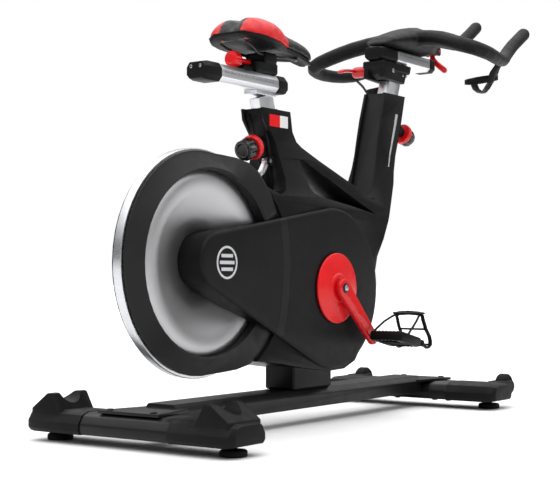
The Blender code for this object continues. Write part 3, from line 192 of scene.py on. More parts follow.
def upholstery(name):
    """The saddle's cover: black and red synthetic leather, sewn along the panel edges."""
    s = Shader(name, Specular_IOR_Level=0.35)
    low, high = SADDLE
    split = s.add("ShaderNodeSeparateXYZ", {0: s.place})
    along = s.maths("DIVIDE", s.maths("SUBTRACT", split.outputs[0], low.x), high.x - low.x)
    side = s.maths("ABSOLUTE", s.maths("SUBTRACT", split.outputs[1], (low.y + high.y) / 2))
    curve = s.add("ShaderNodeFloatCurve", {"Value": along})
    points = curve.mapping.curves[0].points
    stations = ((0.0, 0.34), (0.14, 0.36), (0.30, 0.30), (0.42, 0.22), (0.50, 0.22), (0.57, 0.42),
                (0.62, 0.98))
    points[0].location = stations[0]
    points[1].location = (1.0, 1.0)
    for at in stations[1:]:
        points.new(*at)
    curve.mapping.update()
    edge = s.maths("MULTIPLY", curve.outputs[0], (high.y - low.y) / 2)
    from_seam = s.maths("SUBTRACT", side, edge)
    red = s.spread(from_seam, 0.0, 1.0, -0.0003, 0.0003)
    wrinkle = s.noise(90.0, 4.0)
    black = s.mix(s.spread(wrinkle, 0.0, 1.0), rgba((0.0040, 0.0040, 0.0043)), rgba((0.0065, 0.0065, 0.0069)))
    warm = s.mix(s.spread(wrinkle, 0.0, 1.0), rgba((0.50, 0.0065, 0.0095)), rgba((0.60, 0.0100, 0.0130)))
    s.set("Base Color", s.mix(red, black, warm))
    s.set("Roughness", s.spread(s.noise(120.0, 4.0), 0.34, 0.50))
    grain = s.add("ShaderNodeTexVoronoi", {"Vector": s.place, "Scale": 700.0},
                  feature="DISTANCE_TO_EDGE").outputs[0]
    distance = s.maths("ABSOLUTE", from_seam)
    groove = s.spread(distance, 0.0, 1.0, 0.0, 0.0022)
    leather = s.bump(s.spread(grain, 0.0, 1.0, 0.0, 0.12), 0.16, 0.0003)
    s.set("Normal", s.bump(groove, 0.9, 0.0012, leather))
    return s.material


DULL = 0.13
PAINT = painted("satin_black_paint", (0.0045, 0.0045, 0.0048), Specular_IOR_Level=DULL)
BASE_PAINT = painted("base_paint", (0.0036, 0.0036, 0.0039), rough=(0.32, 0.44), Specular_IOR_Level=0.24)
PLASTIC = moulded("black_moulding", (0.0040, 0.0040, 0.0043), Specular_IOR_Level=DULL)
COVER = moulded("guard_moulding", (0.0042, 0.0042, 0.0045), rough=(0.40, 0.50), grain=1300.0, depth=0.16,
                Specular_IOR_Level=DULL)
BAND = moulded("band_moulding", (0.0085, 0.0085, 0.0090), rough=(0.38, 0.48), grain=1300.0, depth=0.12,
               Specular_IOR_Level=DULL)
SHROUD = moulded("shroud_moulding", (0.0130, 0.0130, 0.0138), rough=(0.36, 0.48), grain=1100.0, depth=0.12,
                 Specular_IOR_Level=DULL)
RED = moulded("red_moulding", (0.600, 0.0050, 0.0075), rough=(0.26, 0.38), grain=500.0, depth=0.05,
              Specular_IOR_Level=0.30, Coat_Weight=0.10, Coat_Roughness=0.15)
RED_METAL = painted("red_enamel", (0.560, 0.0045, 0.0070), rough=(0.24, 0.34), peel=300.0, peel_depth=0.06,
                    wear=0.0, Specular_IOR_Level=0.30, Coat_Weight=0.15, Coat_Roughness=0.12)
RAIL_METAL = brushed("rail_aluminium", (0.70, 0.71, 0.73), (6, 420, 420))
POST_METAL = brushed("post_aluminium", (0.74, 0.75, 0.77), (380, 380, 8))
BOLT = brushed("bolt_steel", (0.50, 0.50, 0.52), (500, 500, 500), rough=(0.22, 0.36))
DARK_BOLT = brushed("dark_bolt_steel", (0.035, 0.035, 0.037), (500, 500, 500), rough=(0.30, 0.45))
DISC = spun("spun_aluminium", (0.46, 0.46, 0.47), FLYWHEEL, rough=(0.38, 0.48))
RIM = spun("turned_steel", (0.60, 0.61, 0.63), FLYWHEEL, rings=1500.0, rough=(0.22, 0.34), depth=0.08)
GLOSS = moulded("gloss_black", (0.0050, 0.0050, 0.0054), rough=(0.16, 0.28), grain=500.0, depth=0.04)
RUBBER = moulded("foot_rubber", (0.0080, 0.0080, 0.0080), rough=(0.65, 0.80), grain=700.0, depth=0.35,
                 Specular_IOR_Level=DULL)
BELT = moulded("belt_rubber", (0.0080, 0.0080, 0.0080), rough=(0.60, 0.72), grain=900.0, depth=0.3,
               Specular_IOR_Level=DULL)
FOAM = foam("grip_skin", (0.0048, 0.0048, 0.0051))
SADDLE_COVER = upholstery("saddle_leather")
BADGE = brushed("badge_silver", (0.62, 0.63, 0.65), (300, 40, 300), rough=(0.30, 0.42), metallic=0.6)
WHITE = moulded("white_label", (0.66, 0.66, 0.65), rough=(0.30, 0.40), grain=400.0, depth=0.03)
MARK = moulded("scale_ink", (0.060, 0.060, 0.064), rough=(0.40, 0.50), grain=400.0, depth=0.03)


# ---------------------------------------------------------------- mesh tools
def piece(name, bm, material, body, angle=35.0, smooth=True):
    mesh = bpy.data.meshes.new(name)
    bmesh.ops.recalc_face_normals(bm, faces=bm.faces)
    bm.to_mesh(mesh)
    bm.free()
    mesh.materials.append(material)
    obj = bpy.data.objects.new(name, mesh)
    bpy.context.scene.collection.objects.link(obj)
    shade(obj, angle, smooth)
    if body:
        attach(obj, body)
    return obj


def shade(obj, angle=35.0, smooth=True):
    flags = np.full(len(obj.data.polygons), smooth)
    obj.data.polygons.foreach_set("use_smooth", flags)
    obj.data.set_sharp_from_angle(angle=math.radians(angle))


def applied(obj, angle=35.0):
    """Replaces the object's mesh by what its modifiers make of it."""
    bpy.context.view_layer.update()
    made = bpy.data.meshes.new_from_object(obj.evaluated_get(bpy.context.evaluated_depsgraph_get()))
    obj.modifiers.clear()
    obj.data = made
    shade(obj, angle)
    return obj


def welded(node):
    """A copy of a CAD node's surface with joined corners and merged flat faces."""
    bm = bmesh.new()
    bm.from_mesh(frame["nodes"][node].data)
    bmesh.ops.remove_doubles(bm, verts=bm.verts, dist=0.000004)
    bmesh.ops.dissolve_limit(bm, angle_limit=math.radians(1.0), verts=bm.verts, edges=bm.edges)
    return bm


def refined(node, material, width=0.0012, angle=30.0, segments=3, smooth_angle=40.0):
    """Stands for a CAD node with the same shape and softly rounded edges."""
    obj = piece(node + "_finish", welded(node), material, None, smooth_angle)
    if width:
        bevel = obj.modifiers.new("edges", "BEVEL")
        bevel.width = width
        bevel.segments = segments
        bevel.limit_method = "ANGLE"
        bevel.angle_limit = math.radians(angle)
        bevel.use_clamp_overlap = True
        bevel.harden_normals = False
        applied(obj, smooth_angle)
    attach(obj, BODY_OF[node])
    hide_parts(node)
    return obj


def rounded(points, radius=0.001, steps=3):
    """A profile with its inner corners turned into short curves."""
    points = [Vector(p) for p in points]
    result = [points[0]]
    for before, corner, after in zip(points, points[1:], points[2:]):
        a = corner + (before - corner).normalized() * min(radius, (before - corner).length * 0.45)
        b = corner + (after - corner).normalized() * min(radius, (after - corner).length * 0.45)
        for k in range(steps + 1):
            t = k / steps
            result.append(a * (1 - t) ** 2 + corner * 2 * t * (1 - t) + b * t * t)
    return result + [points[-1]]


def turned(name, material, body, origin, axis, profile, segments=72, flutes=0, flute_depth=0.0,
           flute_from=1.0, ring=False, angle=35.0):
    """A turned piece; its profile is (radius, height) along the axis, and flutes scallop its widest part."""
    axis = Vector(axis).normalized()
    side = axis.orthogonal().normalized()
    other = axis.cross(side)
    bm = bmesh.new()
    rings = []
    for radius, height in profile:
        row = []
        for k in range(segments):
            a = 2 * math.pi * k / segments
            r = radius
            if flutes and radius > flute_from:
                r -= flute_depth * (0.5 - 0.5 * math.cos(flutes * a))
            out = side * math.cos(a) + other * math.sin(a)
            row.append(bm.verts.new(Vector(origin) + axis * height + out * r))
        rings.append(row)
    pairs = list(zip(rings, rings[1:]))
    if ring:
        pairs.append((rings[-1], rings[0]))
    for first, second in pairs:
        for k in range(segments):
            n = (k + 1) % segments
            bm.faces.new((first[k], first[n], second[n], second[k]))
    if not ring:
        bm.faces.new(rings[0])
        bm.faces.new(rings[-1])
    bmesh.ops.remove_doubles(bm, verts=bm.verts, dist=0.000002)
    return piece(name, bm, material, body, angle)


def bolts(name, material, body, places, axis, radius, height, sides=6):
    """A set of bolt heads with domed, chamfered tops; the axis points out of the surface."""
    axis = Vector(axis).normalized()
    side = axis.orthogonal().normalized()
    other = axis.cross(side)
    bm = bmesh.new()
    for place in places:
        rows = []
        for r, h in ((1.0, 0.0), (1.0, 0.72), (0.90, 0.90), (0.76, 1.0), (0.42, 1.0), (0.38, 0.62)):
            rows.append([bm.verts.new(Vector(place) + axis * height * h + radius * r * (
                side * math.cos(2 * math.pi * k / sides) + other * math.sin(2 * math.pi * k / sides)))
                for k in range(sides)])
        for first, second in zip(rows, rows[1:]):
            for k in range(sides):
                bm.faces.new((first[k], first[(k + 1) % sides], second[(k + 1) % sides], second[k]))
        bm.faces.new(rows[0])
        bm.faces.new(rows[-1])
    return piece(name, bm, material, body, 25.0)


def axis_end(node, direction):
    """The middle of a node's end face in a direction, for turned nodes."""
    co = np.array([v.co for v in frame["nodes"][node].data.vertices])
    reach = co @ np.array(direction)
    return Vector(co[reach > reach.max() - 0.0001].mean(0))


def decal(name, material, body, onto, corners, side=-1, lift=0.0004, across=16, down=8):
    """A thin plate laid on a surface: corners are (x, z) in order, projected along Y."""
    tree = BVHTree.FromObject(onto, bpy.context.evaluated_depsgraph_get())
    bm = bmesh.new()
    grid = []
    a, b, c, d = [Vector(p) for p in corners]
    for i in range(down + 1):
        row = []
        for j in range(across + 1):
            u, v = j / across, i / down
            flat = a.lerp(b, u).lerp(d.lerp(c, u), v)
            hit = tree.ray_cast(Vector((flat.x, side * 0.4, flat.y)), Vector((0, -side, 0)))[0]
            row.append(bm.verts.new(hit + Vector((0, side * lift, 0))))
        grid.append(row)
    for i in range(down):
        for j in range(across):
            bm.faces.new((grid[i][j], grid[i][j + 1], grid[i + 1][j + 1], grid[i + 1][j]))
    obj = piece(name, bm, material, None, 60.0)
    solid = obj.modifiers.new("thickness", "SOLIDIFY")
    solid.thickness = 0.0003
    applied(obj, 60.0)
    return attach(obj, body)


def plain_box(bm, low, high):
    """Adds a box between two corners to a mesh."""
    made = bmesh.ops.create_cube(bm, size=1.0)["verts"]
    low, high = Vector(low), Vector(high)
    for vert in made:
        vert.co = Vector([(low[i] + high[i]) / 2 + vert.co[i] * (high[i] - low[i]) for i in range(3)])


# ---------------------------------------------------------------- base
def base():
    refined("main_beam", BASE_PAINT, 0.004)
    for end in ("rear", "front"):
        refined(end + "_stabilizer", BASE_PAINT, 0.003)
        for side in ("left", "right"):
            refined(f"{end}_end_cap_{side}", PLASTIC, 0.0016)
            foot(f"{end}_foot_{side}")
    for side in ("left", "right"):
        wheel("transport_wheel_" + side)
    low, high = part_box("main_beam")
    plates = []
    for x in (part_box("rear_stabilizer")[0].x + 0.028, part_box("front_stabilizer")[1].x - 0.028):
        plates += [(x, y, high.z - 0.0085) for y in (-0.055, 0.055)]
    bolts("plate_bolts", DARK_BOLT, "base", plates, Z, 0.0075, 0.0030)
    under = []
    for end in ("rear", "front"):
        low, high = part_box(end + "_stabilizer")
        under += [((low.x + high.x) / 2, y, low.z) for y in (-0.092, -0.052, 0.058)]
    bolts("underside_bolts", DARK_BOLT, "base", under, -Z, 0.0080, 0.0070)


def foot(node):
    low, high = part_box(node)
    centre = Vector(((low.x + high.x) / 2, (low.y + high.y) / 2, 0))
    radius = (high.x - low.x) / 2
    profile = rounded([(0, 0.0), (radius * 0.96, 0.0), (radius, 0.0015), (radius, 0.0095),
                       (radius * 0.9, 0.0125), (0.009, 0.0135), (0.0050, 0.0170), (0.0050, high.z),
                       (0, high.z)], 0.0008)
    obj = turned(node + "_finish", RUBBER, BODY_OF[node], centre, Z, profile, 96, 32, 0.0006, radius * 0.97)
    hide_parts(node)


def wheel(node):
    low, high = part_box(node)
    radius, half = (high.x - low.x) / 2, (high.y - low.y) / 2
    profile = rounded([(0.0047, -half), (radius * 0.55, -half), (radius * 0.60, -half + 0.002),
                       (radius * 0.72, -half + 0.002), (radius * 0.77, -half), (radius - 0.003, -half),
                       (radius, -half + 0.004), (radius, half - 0.004), (radius - 0.003, half),
                       (radius * 0.77, half), (radius * 0.72, half - 0.002), (radius * 0.60, half - 0.002),
                       (radius * 0.55, half), (0.0047, half)], 0.0008)
    obj = turned(node + "_finish", RUBBER, BODY_OF[node], middle(node), Y, profile, 96, ring=True)
    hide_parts(node)


# ---------------------------------------------------------------- frame and covers
LABEL_HALF, LABEL_HEIGHT = 0.034, 0.026


def body_shell():
    """The frame casting and its covers, with a plain label and stripe on the columns."""
    shell = refined("frame", PAINT, 0.0015, segments=2, smooth_angle=50.0)
    for node in ("flywheel_shroud_left", "flywheel_shroud_right"):
        refined(node, SHROUD, 0.0, smooth_angle=30.0)
    refined("left_crank_cover", COVER, 0.0012)
    post, top = middle("seat_post").x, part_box("seat_post")[1].z
    low = top - 0.077
    high = low + LABEL_HEIGHT
    left, right = post - LABEL_HALF, post + LABEL_HALF
    split = post + 0.004
    decal("column_label_red", RED, "base", shell, ((left, low), (split, low), (split, high), (left, high)))
    split += 0.0005
    decal("column_label_white", WHITE, "base", shell,
          ((split, low), (right, low), (right, high), (split, high)))
    stripe_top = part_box("handlebar_post")[1].z - 0.130
    stripe_low = stripe_top - 0.135
    axis_x = BAR_RAIL[0].x - 0.018
    decal("column_stripe", BADGE, "base", shell,
          ((axis_x - 0.0060, stripe_top), (axis_x + 0.0060, stripe_top), (axis_x - 0.0460, stripe_low),
           (axis_x - 0.0500, stripe_low)), across=4, down=24)


GUARD_FACE = min(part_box("belt_guard_rear")[0].y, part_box("belt_guard_front")[0].y)
DISC_SEAT_R = 0.0825
TAIL_R, BELLY_R = 0.058, 0.180
# (distance from the flywheel's axle, how far in the guard's wall reaches there)
DISH = ((0.050, -0.0145), (0.095, -0.0210), (0.140, -0.0385), (0.165, -0.0475), (0.185, -0.0500),
        (0.1851, -0.0709))
WALL_GAP = 0.0002


def teardrop():
    """The guard's outline, as points with outward normals: two circles round the axles, joined."""
    tail, belly = Vector((FLYWHEEL.x, FLYWHEEL.z + 0.004)), Vector((CRANK.x, CRANK.z))
    along = belly - tail
    heading = math.atan2(along.y, along.x)
    spread = math.acos((TAIL_R - BELLY_R) / along.length)
    arcs = ((belly, BELLY_R, heading - spread, heading + spread, 72),
            (tail, TAIL_R, heading + spread, heading + 2 * math.pi - spread, 40))
    points = []
    for centre, radius, start, end, count in arcs:
        for k in range(count + 1):
            a = start + (end - start) * k / count
            normal = Vector((math.cos(a), math.sin(a)))
            points.append((centre + normal * radius, normal))
    return points


def wall_end(point):
    """How far in the guard's side wall reaches, just clear of the turning disc and the frame."""
    r = (point - Vector((FLYWHEEL.x, FLYWHEEL.z))).length
    return float(np.interp(r, [d[0] for d in DISH], [d[1] for d in DISH])) - WALL_GAP


def guard_body(name):
    """The whole guard as one closed shell with a broad rounded edge."""
    face = GUARD_FACE
    profile = [(0.0, None), (0.0, 0.0060), (-0.0004, 0.0044), (-0.0016, 0.0030), (-0.0036, 0.0016),
               (-0.0066, 0.0006), (-0.0105, 0.0)]
    skin_in = [(-0.0128, 0.0018), (-0.0080, 0.0024), (-0.0050, 0.0034), (-0.0032, 0.0046), (-0.0026, 0.0060),
               (-0.0026, None)]
    bm = bmesh.new()
    outline = teardrop()
    loops = []
    for inset, height in profile + skin_in:
        loop = []
        for point, normal in outline:
            at = point + normal * inset
            y = wall_end(point) if height is None else face + height
            loop.append(bm.verts.new((at.x, y, at.y)))
        loops.append(loop)
    count = len(outline)
    for first, second in list(zip(loops, loops[1:])) + [(loops[-1], loops[0])]:
        if first is loops[len(profile) - 1]:
            continue  # the outer and inner faces close this step
        for k in range(count):
            n = (k + 1) % count
            bm.faces.new((first[k], first[n], second[n], second[k]))
    bm.faces.new(loops[len(profile) - 1])
    bm.faces.new(loops[len(profile)])
    bmesh.ops.remove_doubles(bm, verts=bm.verts, dist=0.00001)
    bmesh.ops.recalc_face_normals(bm, faces=bm.faces)
    return piece(name, bm, COVER, None, 40.0)


def cutter(name, outline, y0, y1):
    bm = bmesh.new()
    near = [bm.verts.new((x, y0, z)) for x, z in outline]
    far = [bm.verts.new((x, y1, z)) for x, z in outline]
    bm.faces.new(near)
    bm.faces.new(far)
    for k in range(len(outline)):
        n = (k + 1) % len(outline)
        bm.faces.new((near[k], near[n], far[n], far[k]))
    bmesh.ops.recalc_face_normals(bm, faces=bm.faces)
    return piece(name, bm, COVER, None)


def seam(offset):
    """The guard's vertical joint: a shallow arc bulging forward."""
    radius = 0.42
    centre = Vector((CRANK.x - 0.188 - radius, 0.350))
    turns = [math.radians(a) for a in range(-26, 27, 2)]
    return [(centre.x + radius * math.cos(a) + offset, centre.y + radius * math.sin(a)) for a in turns]


def cut(obj, *tools):
    for tool in tools:
        modifier = obj.modifiers.new("cut", "BOOLEAN")
        modifier.operation = "DIFFERENCE"
        modifier.solver = "EXACT"
        modifier.object = tool
    applied(obj, 40.0)
    for tool in tools:
        bpy.data.objects.remove(tool)
    return obj


def halfway(name, offset, forward):
    edge = seam(offset)
    far = 1.0 if forward else -1.2
    outline = [(edge[0][0], -0.1)] + edge + [(edge[-1][0], 0.9), (far, 0.9), (far, -0.1)]
    return cutter(name, outline, -0.3, 0.2)


def circle(centre, radius, count=64):
    turns = [2 * math.pi * k / count for k in range(count)]
    return [(centre.x + radius * math.cos(a), centre.z + radius * math.sin(a)) for a in turns]


def guard():
    covers = {"belt_guard_rear": COVER, "belt_guard_front": COVER, "belt_guard_band": BAND}
    for node, material in covers.items():
        obj = guard_body(node + "_finish")
        if node == "belt_guard_rear":
            cut(obj, halfway("ahead", -0.0142, True))
        elif node == "belt_guard_front":
            cut(obj, halfway("behind", 0.0142, False), cutter("crank_way", circle(CRANK, 0.031), -0.2, 0.1),
                cutter("disc_seat", circle(CRANK, DISC_SEAT_R), -0.2, GUARD_FACE + 0.0012))
        else:
            cut(obj, halfway("ahead", 0.0136, True), halfway("behind", -0.0136, False))
        obj.data.materials.clear()
        obj.data.materials.append(material)
        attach(obj, "base")
        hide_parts(node)
    badge()


def badge():
    """A plain round badge: a ring round three slats."""
    centre = Vector((FLYWHEEL.x + 0.022, GUARD_FACE + 0.0003, FLYWHEEL.z + 0.001))
    ring = [(0.0285, 0), (0.0288, 0.0008), (0.0332, 0.0008), (0.0335, 0)]
    turned("guard_badge_ring", BADGE, "base", centre, -Y, ring, 96, ring=True)
    bm = bmesh.new()
    for rise, half in ((-0.0135, 0.0185), (0.0, 0.0235), (0.0135, 0.0185)):
        plain_box(bm, centre + Vector((-half, -0.0007, rise - 0.0034)),
                  centre + Vector((half, 0.0, rise + 0.0034)))
    piece("guard_badge_slats", bm, BADGE, "base", 30.0)


def drive():
    refined("flywheel", RIM, 0.0008)
    refined("flywheel_face_right", DISC, 0.0, smooth_angle=80.0)
    refined("flywheel_face_left", DISC, 0.0, smooth_angle=80.0)
    refined("flywheel_pulley_shaft", DARK_BOLT, 0.0006)
    for side in ("left", "right"):
        refined("flywheel_bearing_" + side, BOLT, 0.0005)
        refined("crank_arm_" + side, RED_METAL, 0.0010)
        refined("pedal_spindle_" + side, BOLT, 0.0004)
        refined("pedal_body_" + side, PLASTIC, 0.0014)
        refined("toe_cage_" + side, PLASTIC, 0.0010)
        pedal_plates(side)
    refined("crank_disc", RED, 0.0010)
    refined("crank_pulley", DARK_BOLT, 0.0)
    refined("crank_axle", BOLT, 0.0008)
    refined("bottom_bracket", BOLT, 0.0)
    refined("drive_belt", BELT, 0.0)
    refined("magnet_brake", POST_METAL, 0.0008)
    ring_y = GUARD_FACE + 0.0013
    ring = [(0.0800, 0), (0.0803, 0.0022), (0.0822, 0.0022), (0.0824, 0)]
    turned("disc_ring", PLASTIC, "base", (CRANK.x, ring_y, CRANK.z), -Y, ring, 128, ring=True)
    for side, sign in (("left", 1), ("right", -1)):
        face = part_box("crank_arm_" + side)[1 if sign > 0 else 0].y
        washer = rounded([(0, 0.0), (0.0115, 0.0), (0.0115, 0.0006), (0.0085, 0.0014), (0, 0.0014)], 0.0003)
        turned("crank_washer_" + side, DARK_BOLT, "crankset", (CRANK.x, face, CRANK.z), Y * sign, washer, 48)
        place = (CRANK.x, face + sign * 0.0012, CRANK.z)
        bolts("crank_bolt_" + side, BOLT, "crankset", [place], Y * sign, 0.0070, 0.0030)


def pedal_plates(side):
    """Two bright grip plates over each face of the pedal, with small teeth along their edges."""
    body = "pedal_" + side
    centre = middle("pedal_spindle_" + side)
    low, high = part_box("pedal_body_" + side)
    mid_y = (low.y + high.y) / 2
    tilt = Matrix.Rotation(math.radians(12.0), 4, "Y")
    pivot = Vector((centre.x, mid_y, centre.z))
    bm = bmesh.new()
    for end in (-1, 1):
        for face in (-1, 1):
            z = face * 0.0112
            plain_box(bm, (end * 0.0300 - 0.0115, -0.0340, min(z, z - face * 0.0008)),
                      (end * 0.0300 + 0.0115, -0.0285, max(z, z - face * 0.0008)))
            plain_box(bm, (end * 0.0300 - 0.0115, 0.0285, min(z, z - face * 0.0008)),
                      (end * 0.0300 + 0.0115, 0.0340, max(z, z - face * 0.0008)))
            for k in range(7):
                y = -0.0285 + 0.0095 * k
                plain_box(bm, (end * 0.0430 - 0.0012, y - 0.0022, min(z, z - face * 0.0008)),
                          (end * 0.0430 + 0.0012, y + 0.0022, max(z, z - face * 0.0008)))
    for vert in bm.verts:
        vert.co = tilt @ vert.co + pivot
    piece("pedal_plates_" + side, bm, BOLT, body, 30.0)


# ---------------------------------------------------------------- saddle and its post
def ticks(name, body, x0, x1, y, z, count, side):
    """A ruler scale along a rail: longer marks at every fifth one."""
    bm = bmesh.new()
    for k in range(count):
        x = x0 + (x1 - x0) * k / (count - 1)
        tall = 0.0060 if k % 5 == 0 else 0.0038
        near, far = sorted((y, y + side * 0.00025))
        plain_box(bm, (x - 0.0004, near, z), (x + 0.0004, far, z + tall))
    return piece(name, bm, MARK, body, 30.0, smooth=False)


def hand_knob(node, body, direction, length, radius, boss, cap):
    """A pull knob: grey boss on the pin, knurled red collar and a fluted black cap."""
    end = axis_end(node, direction)
    start = end - Vector(direction) * length
    d = Vector(direction)
    pin = [(0, -0.020), (0.0038, -0.020), (0.0038, boss), (0.0155, boss), (0.0155, length * 0.5),
           (0.0110, cap - 0.014), (0, cap - 0.014)]
    turned(node + "_boss", PLASTIC, body, start, d, rounded(pin, 0.0012), 64)
    collar = [(0, cap - 0.014), (radius * 0.93, cap - 0.014), (radius, cap - 0.0120), (radius, cap - 0.0030),
              (radius * 0.93, cap), (0, cap)]
    turned(node + "_collar", RED, body, start, d, rounded(collar, 0.0010), 160, 40, 0.0007, radius * 0.97)
    top = [(0, cap + 0.0002), (radius * 0.80, cap + 0.0002), (radius * 0.80, cap + 0.0040),
           (radius * 0.88, cap + 0.0070), (radius * 0.90, length - 0.0090), (radius * 0.78, length - 0.0010),
           (radius * 0.55, length), (radius * 0.50, length - 0.0022), (0, length - 0.0022)]
    obj = turned(node + "_cap", GLOSS, body, start, d, rounded(top, 0.0014), 160, 8, 0.0030, radius * 0.82)
    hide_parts(node)


def seat():
    low, high = SEAT_RAIL
    refined("seat_post", POST_METAL, 0.0008)
    refined("seat_rail", RAIL_METAL, 0.0010)
    for node in ("seat_rail_cap_rear", "seat_rail_cap_front", "saddle_carriage"):
        refined(node, PLASTIC, 0.0014)
    refined("saddle_rails", DARK_BOLT, 0.0)
    refined("saddle_shell", PLASTIC, 0.0012)
    knob_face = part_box("saddle_knob")[0].x
    centre = middle("saddle_knob")
    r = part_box("saddle_knob")[1].y - centre.y
    profile = [(0, 0.001), (r * 0.55, 0.001), (r * 0.62, 0.0), (r * 0.86, 0.0), (r, 0.0035), (r, 0.0150),
               (r * 0.86, 0.0235), (0.0060, 0.0260), (0.0060, 0.0700), (0, 0.0700)]
    place = (knob_face, centre.y, centre.z)
    profile = rounded(profile, 0.0009)
    obj = turned("saddle_knob_finish", RED, "saddle_screw", place, X, profile, 144, 12, 0.0016, r * 0.93)
    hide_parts("saddle_knob")
    for side, label in ((-1, "right"), (1, "left")):
        face = low.y if side < 0 else high.y
        ticks("seat_scale_" + label, "seat_height", low.x + 0.012, high.x - 0.022, face, high.z - 0.0195, 36,
              side)
    out = (-math.cos(SEAT_PIN_LEAN), 0, -math.sin(SEAT_PIN_LEAN))
    hand_knob("seat_post_knob", "seat_pin", out, 0.104, 0.027, 0.036, 0.073)
    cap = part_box("seat_rail_cap_rear")
    screws = [(cap[0].x + 0.0008, y, (cap[0].z + cap[1].z) / 2 + 0.008) for y in (-0.012, 0.012)]
    bolts("rear_cap_screws", BOLT, "seat_height", screws, -X, 0.0035, 0.0012, 12)


def bar():
    low, high = BAR_RAIL
    post = refined("handlebar_post", POST_METAL, 0.0008)
    post.data.materials.append(PLASTIC)
    bracket = low.z - 0.0510
    for polygon in post.data.polygons:
        if min(post.data.vertices[v].co.z for v in polygon.vertices) > bracket:
            polygon.material_index = 1
    refined("handlebar_rail", RAIL_METAL, 0.0010)
    for node in ("handlebar_rail_cap_rear", "handlebar_rail_cap_front"):
        refined(node, PLASTIC, 0.0014)
    for side in ("left", "right"):
        refined("bottle_holder_" + side, PLASTIC, 0.0010)
    grips()
    out = (math.cos(BAR_PIN_LEAN), 0, -math.sin(BAR_PIN_LEAN))
    hand_knob("handlebar_post_knob", "bar_pin", out, 0.128, 0.026, 0.040, 0.103)
    refined("quick_release_lever", RED_METAL, 0.0008)
    refined("resistance_lever", RED, 0.0008)
    for side, label in ((-1, "right"), (1, "left")):
        face = low.y if side < 0 else high.y
        ticks("bar_scale_" + label, "bar", low.x + 0.014, high.x - 0.014, face, high.z - 0.0130, 26, side)
    faces = post.bound_box
    near = min(corner[1] for corner in faces)
    spots = [(low.x - 0.030, near + 0.0012, low.z - 0.022), (low.x + 0.018, near + 0.0012, low.z - 0.030),
             (low.x + 0.034, near + 0.0012, low.z - 0.030)]
    bolts("bracket_screws", BOLT, "bar_height", spots[:1], -Y, 0.0055, 0.0020, 12)
    bolts("bracket_small_screws", BOLT, "bar_height", spots[1:], -Y, 0.0032, 0.0018, 12)


def grips():
    """The handlebar as one skin: its joints are blended the way moulded foam blends them."""
    bm = welded("handlebar")
    obj = piece("handlebar_finish", bm, FOAM, None, 80.0)
    remesh = obj.modifiers.new("even", "REMESH")
    remesh.mode = "VOXEL"
    remesh.voxel_size = 0.0032
    smooth = obj.modifiers.new("blend", "SMOOTH")
    smooth.factor = 0.5
    smooth.iterations = 8
    applied(obj, 80.0)
    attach(obj, "bar")
    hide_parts("handlebar")
    return obj


def saddle_form():
    """The cushion before it is stuffed: two rear lobes, a channel between them and a drooping nose."""
    low, high = SADDLE
    length, middle_y = high.x - low.x, (low.y + high.y) / 2
    half_full = (high.y - low.y) / 2
    # (how far forward, half width, top, lower edge), each as a share of the cushion's box
    stations = ((0.00, 0.54, 0.50, 0.34), (0.03, 0.78, 0.76, 0.26), (0.10, 0.96, 0.95, 0.22),
                (0.20, 1.00, 1.00, 0.18), (0.32, 0.94, 0.99, 0.15), (0.44, 0.74, 0.93, 0.15),
                (0.56, 0.50, 0.84, 0.18), (0.68, 0.36, 0.77, 0.20), (0.80, 0.31, 0.70, 0.17),
                (0.90, 0.28, 0.61, 0.09), (0.97, 0.23, 0.48, 0.02), (1.00, 0.14, 0.30, 0.02))
    at = [st[0] for st in stations]
    bm = bmesh.new()
    rows = []
    count = 40
    for i in range(61):
        t = i / 60
        half, top, edge = [float(np.interp(t, at, [st[k] for st in stations])) for k in (1, 2, 3)]
        half *= half_full * 0.97
        top_z, edge_z = low.z + (high.z - low.z) * top * 0.97, low.z + (high.z - low.z) * edge + 0.0025
        lobes = max(0.0, 1.0 - t / 0.62)
        row = []
        for k in range(count):
            a = 2 * math.pi * k / count
            y = half * math.copysign(abs(math.cos(a)) ** 0.80, math.cos(a))
            z = edge_z
            if math.sin(a) > 0:
                z += (top_z - edge_z) * math.sin(a) ** 0.75
                z -= (0.0125 * lobes + 0.0015) * math.exp(-(y / 0.017) ** 2)
            row.append(bm.verts.new((low.x + 0.001 + (length - 0.002) * t, middle_y + y, z)))
        rows.append(row)
    for first, second in zip(rows, rows[1:]):
        for k in range(count):
            n = (k + 1) % count
            bm.faces.new((first[k], first[n], second[n], second[k]))
    bm.faces.new(rows[0])
    bm.faces.new(rows[-1])
    return piece("saddle_cushion_finish", bm, SADDLE_COVER, None, 80.0)


def stuffed(obj, pressure, cap, frames=20):
    """Swells a closed form as a stuffed cover does, held where it sits on its shell."""
    start = np.array([v.co for v in obj.data.vertices])
    base_z = start[:, 2].min() + 0.010
    group = obj.vertex_groups.new(name="held")
    group.add([int(i) for i in np.nonzero(start[:, 2] < base_z)[0]], 1.0, "REPLACE")
    cloth = obj.modifiers.new("cloth", "CLOTH")
    cloth.settings.use_pressure = True
    cloth.settings.uniform_pressure_force = pressure
    cloth.settings.vertex_group_mass = "held"
    cloth.settings.effector_weights.gravity = 0.0
    cloth.settings.quality = 5
    scene = bpy.context.scene
    scene.frame_start, scene.frame_end = 1, frames
    cloth.point_cache.frame_start, cloth.point_cache.frame_end = 1, frames
    for number in range(1, frames + 1):
        scene.frame_set(number)
    made = obj.evaluated_get(bpy.context.evaluated_depsgraph_get()).data
    end = np.array([v.co for v in made.vertices])
    obj.modifiers.remove(cloth)
    scene.frame_set(1)
    move = end - start
    reach = np.linalg.norm(move, axis=1, keepdims=True)
    move *= np.minimum(1.0, cap / np.maximum(reach, 1e-9))
    for vert, shift in zip(obj.data.vertices, move):
        vert.co += Vector(shift)


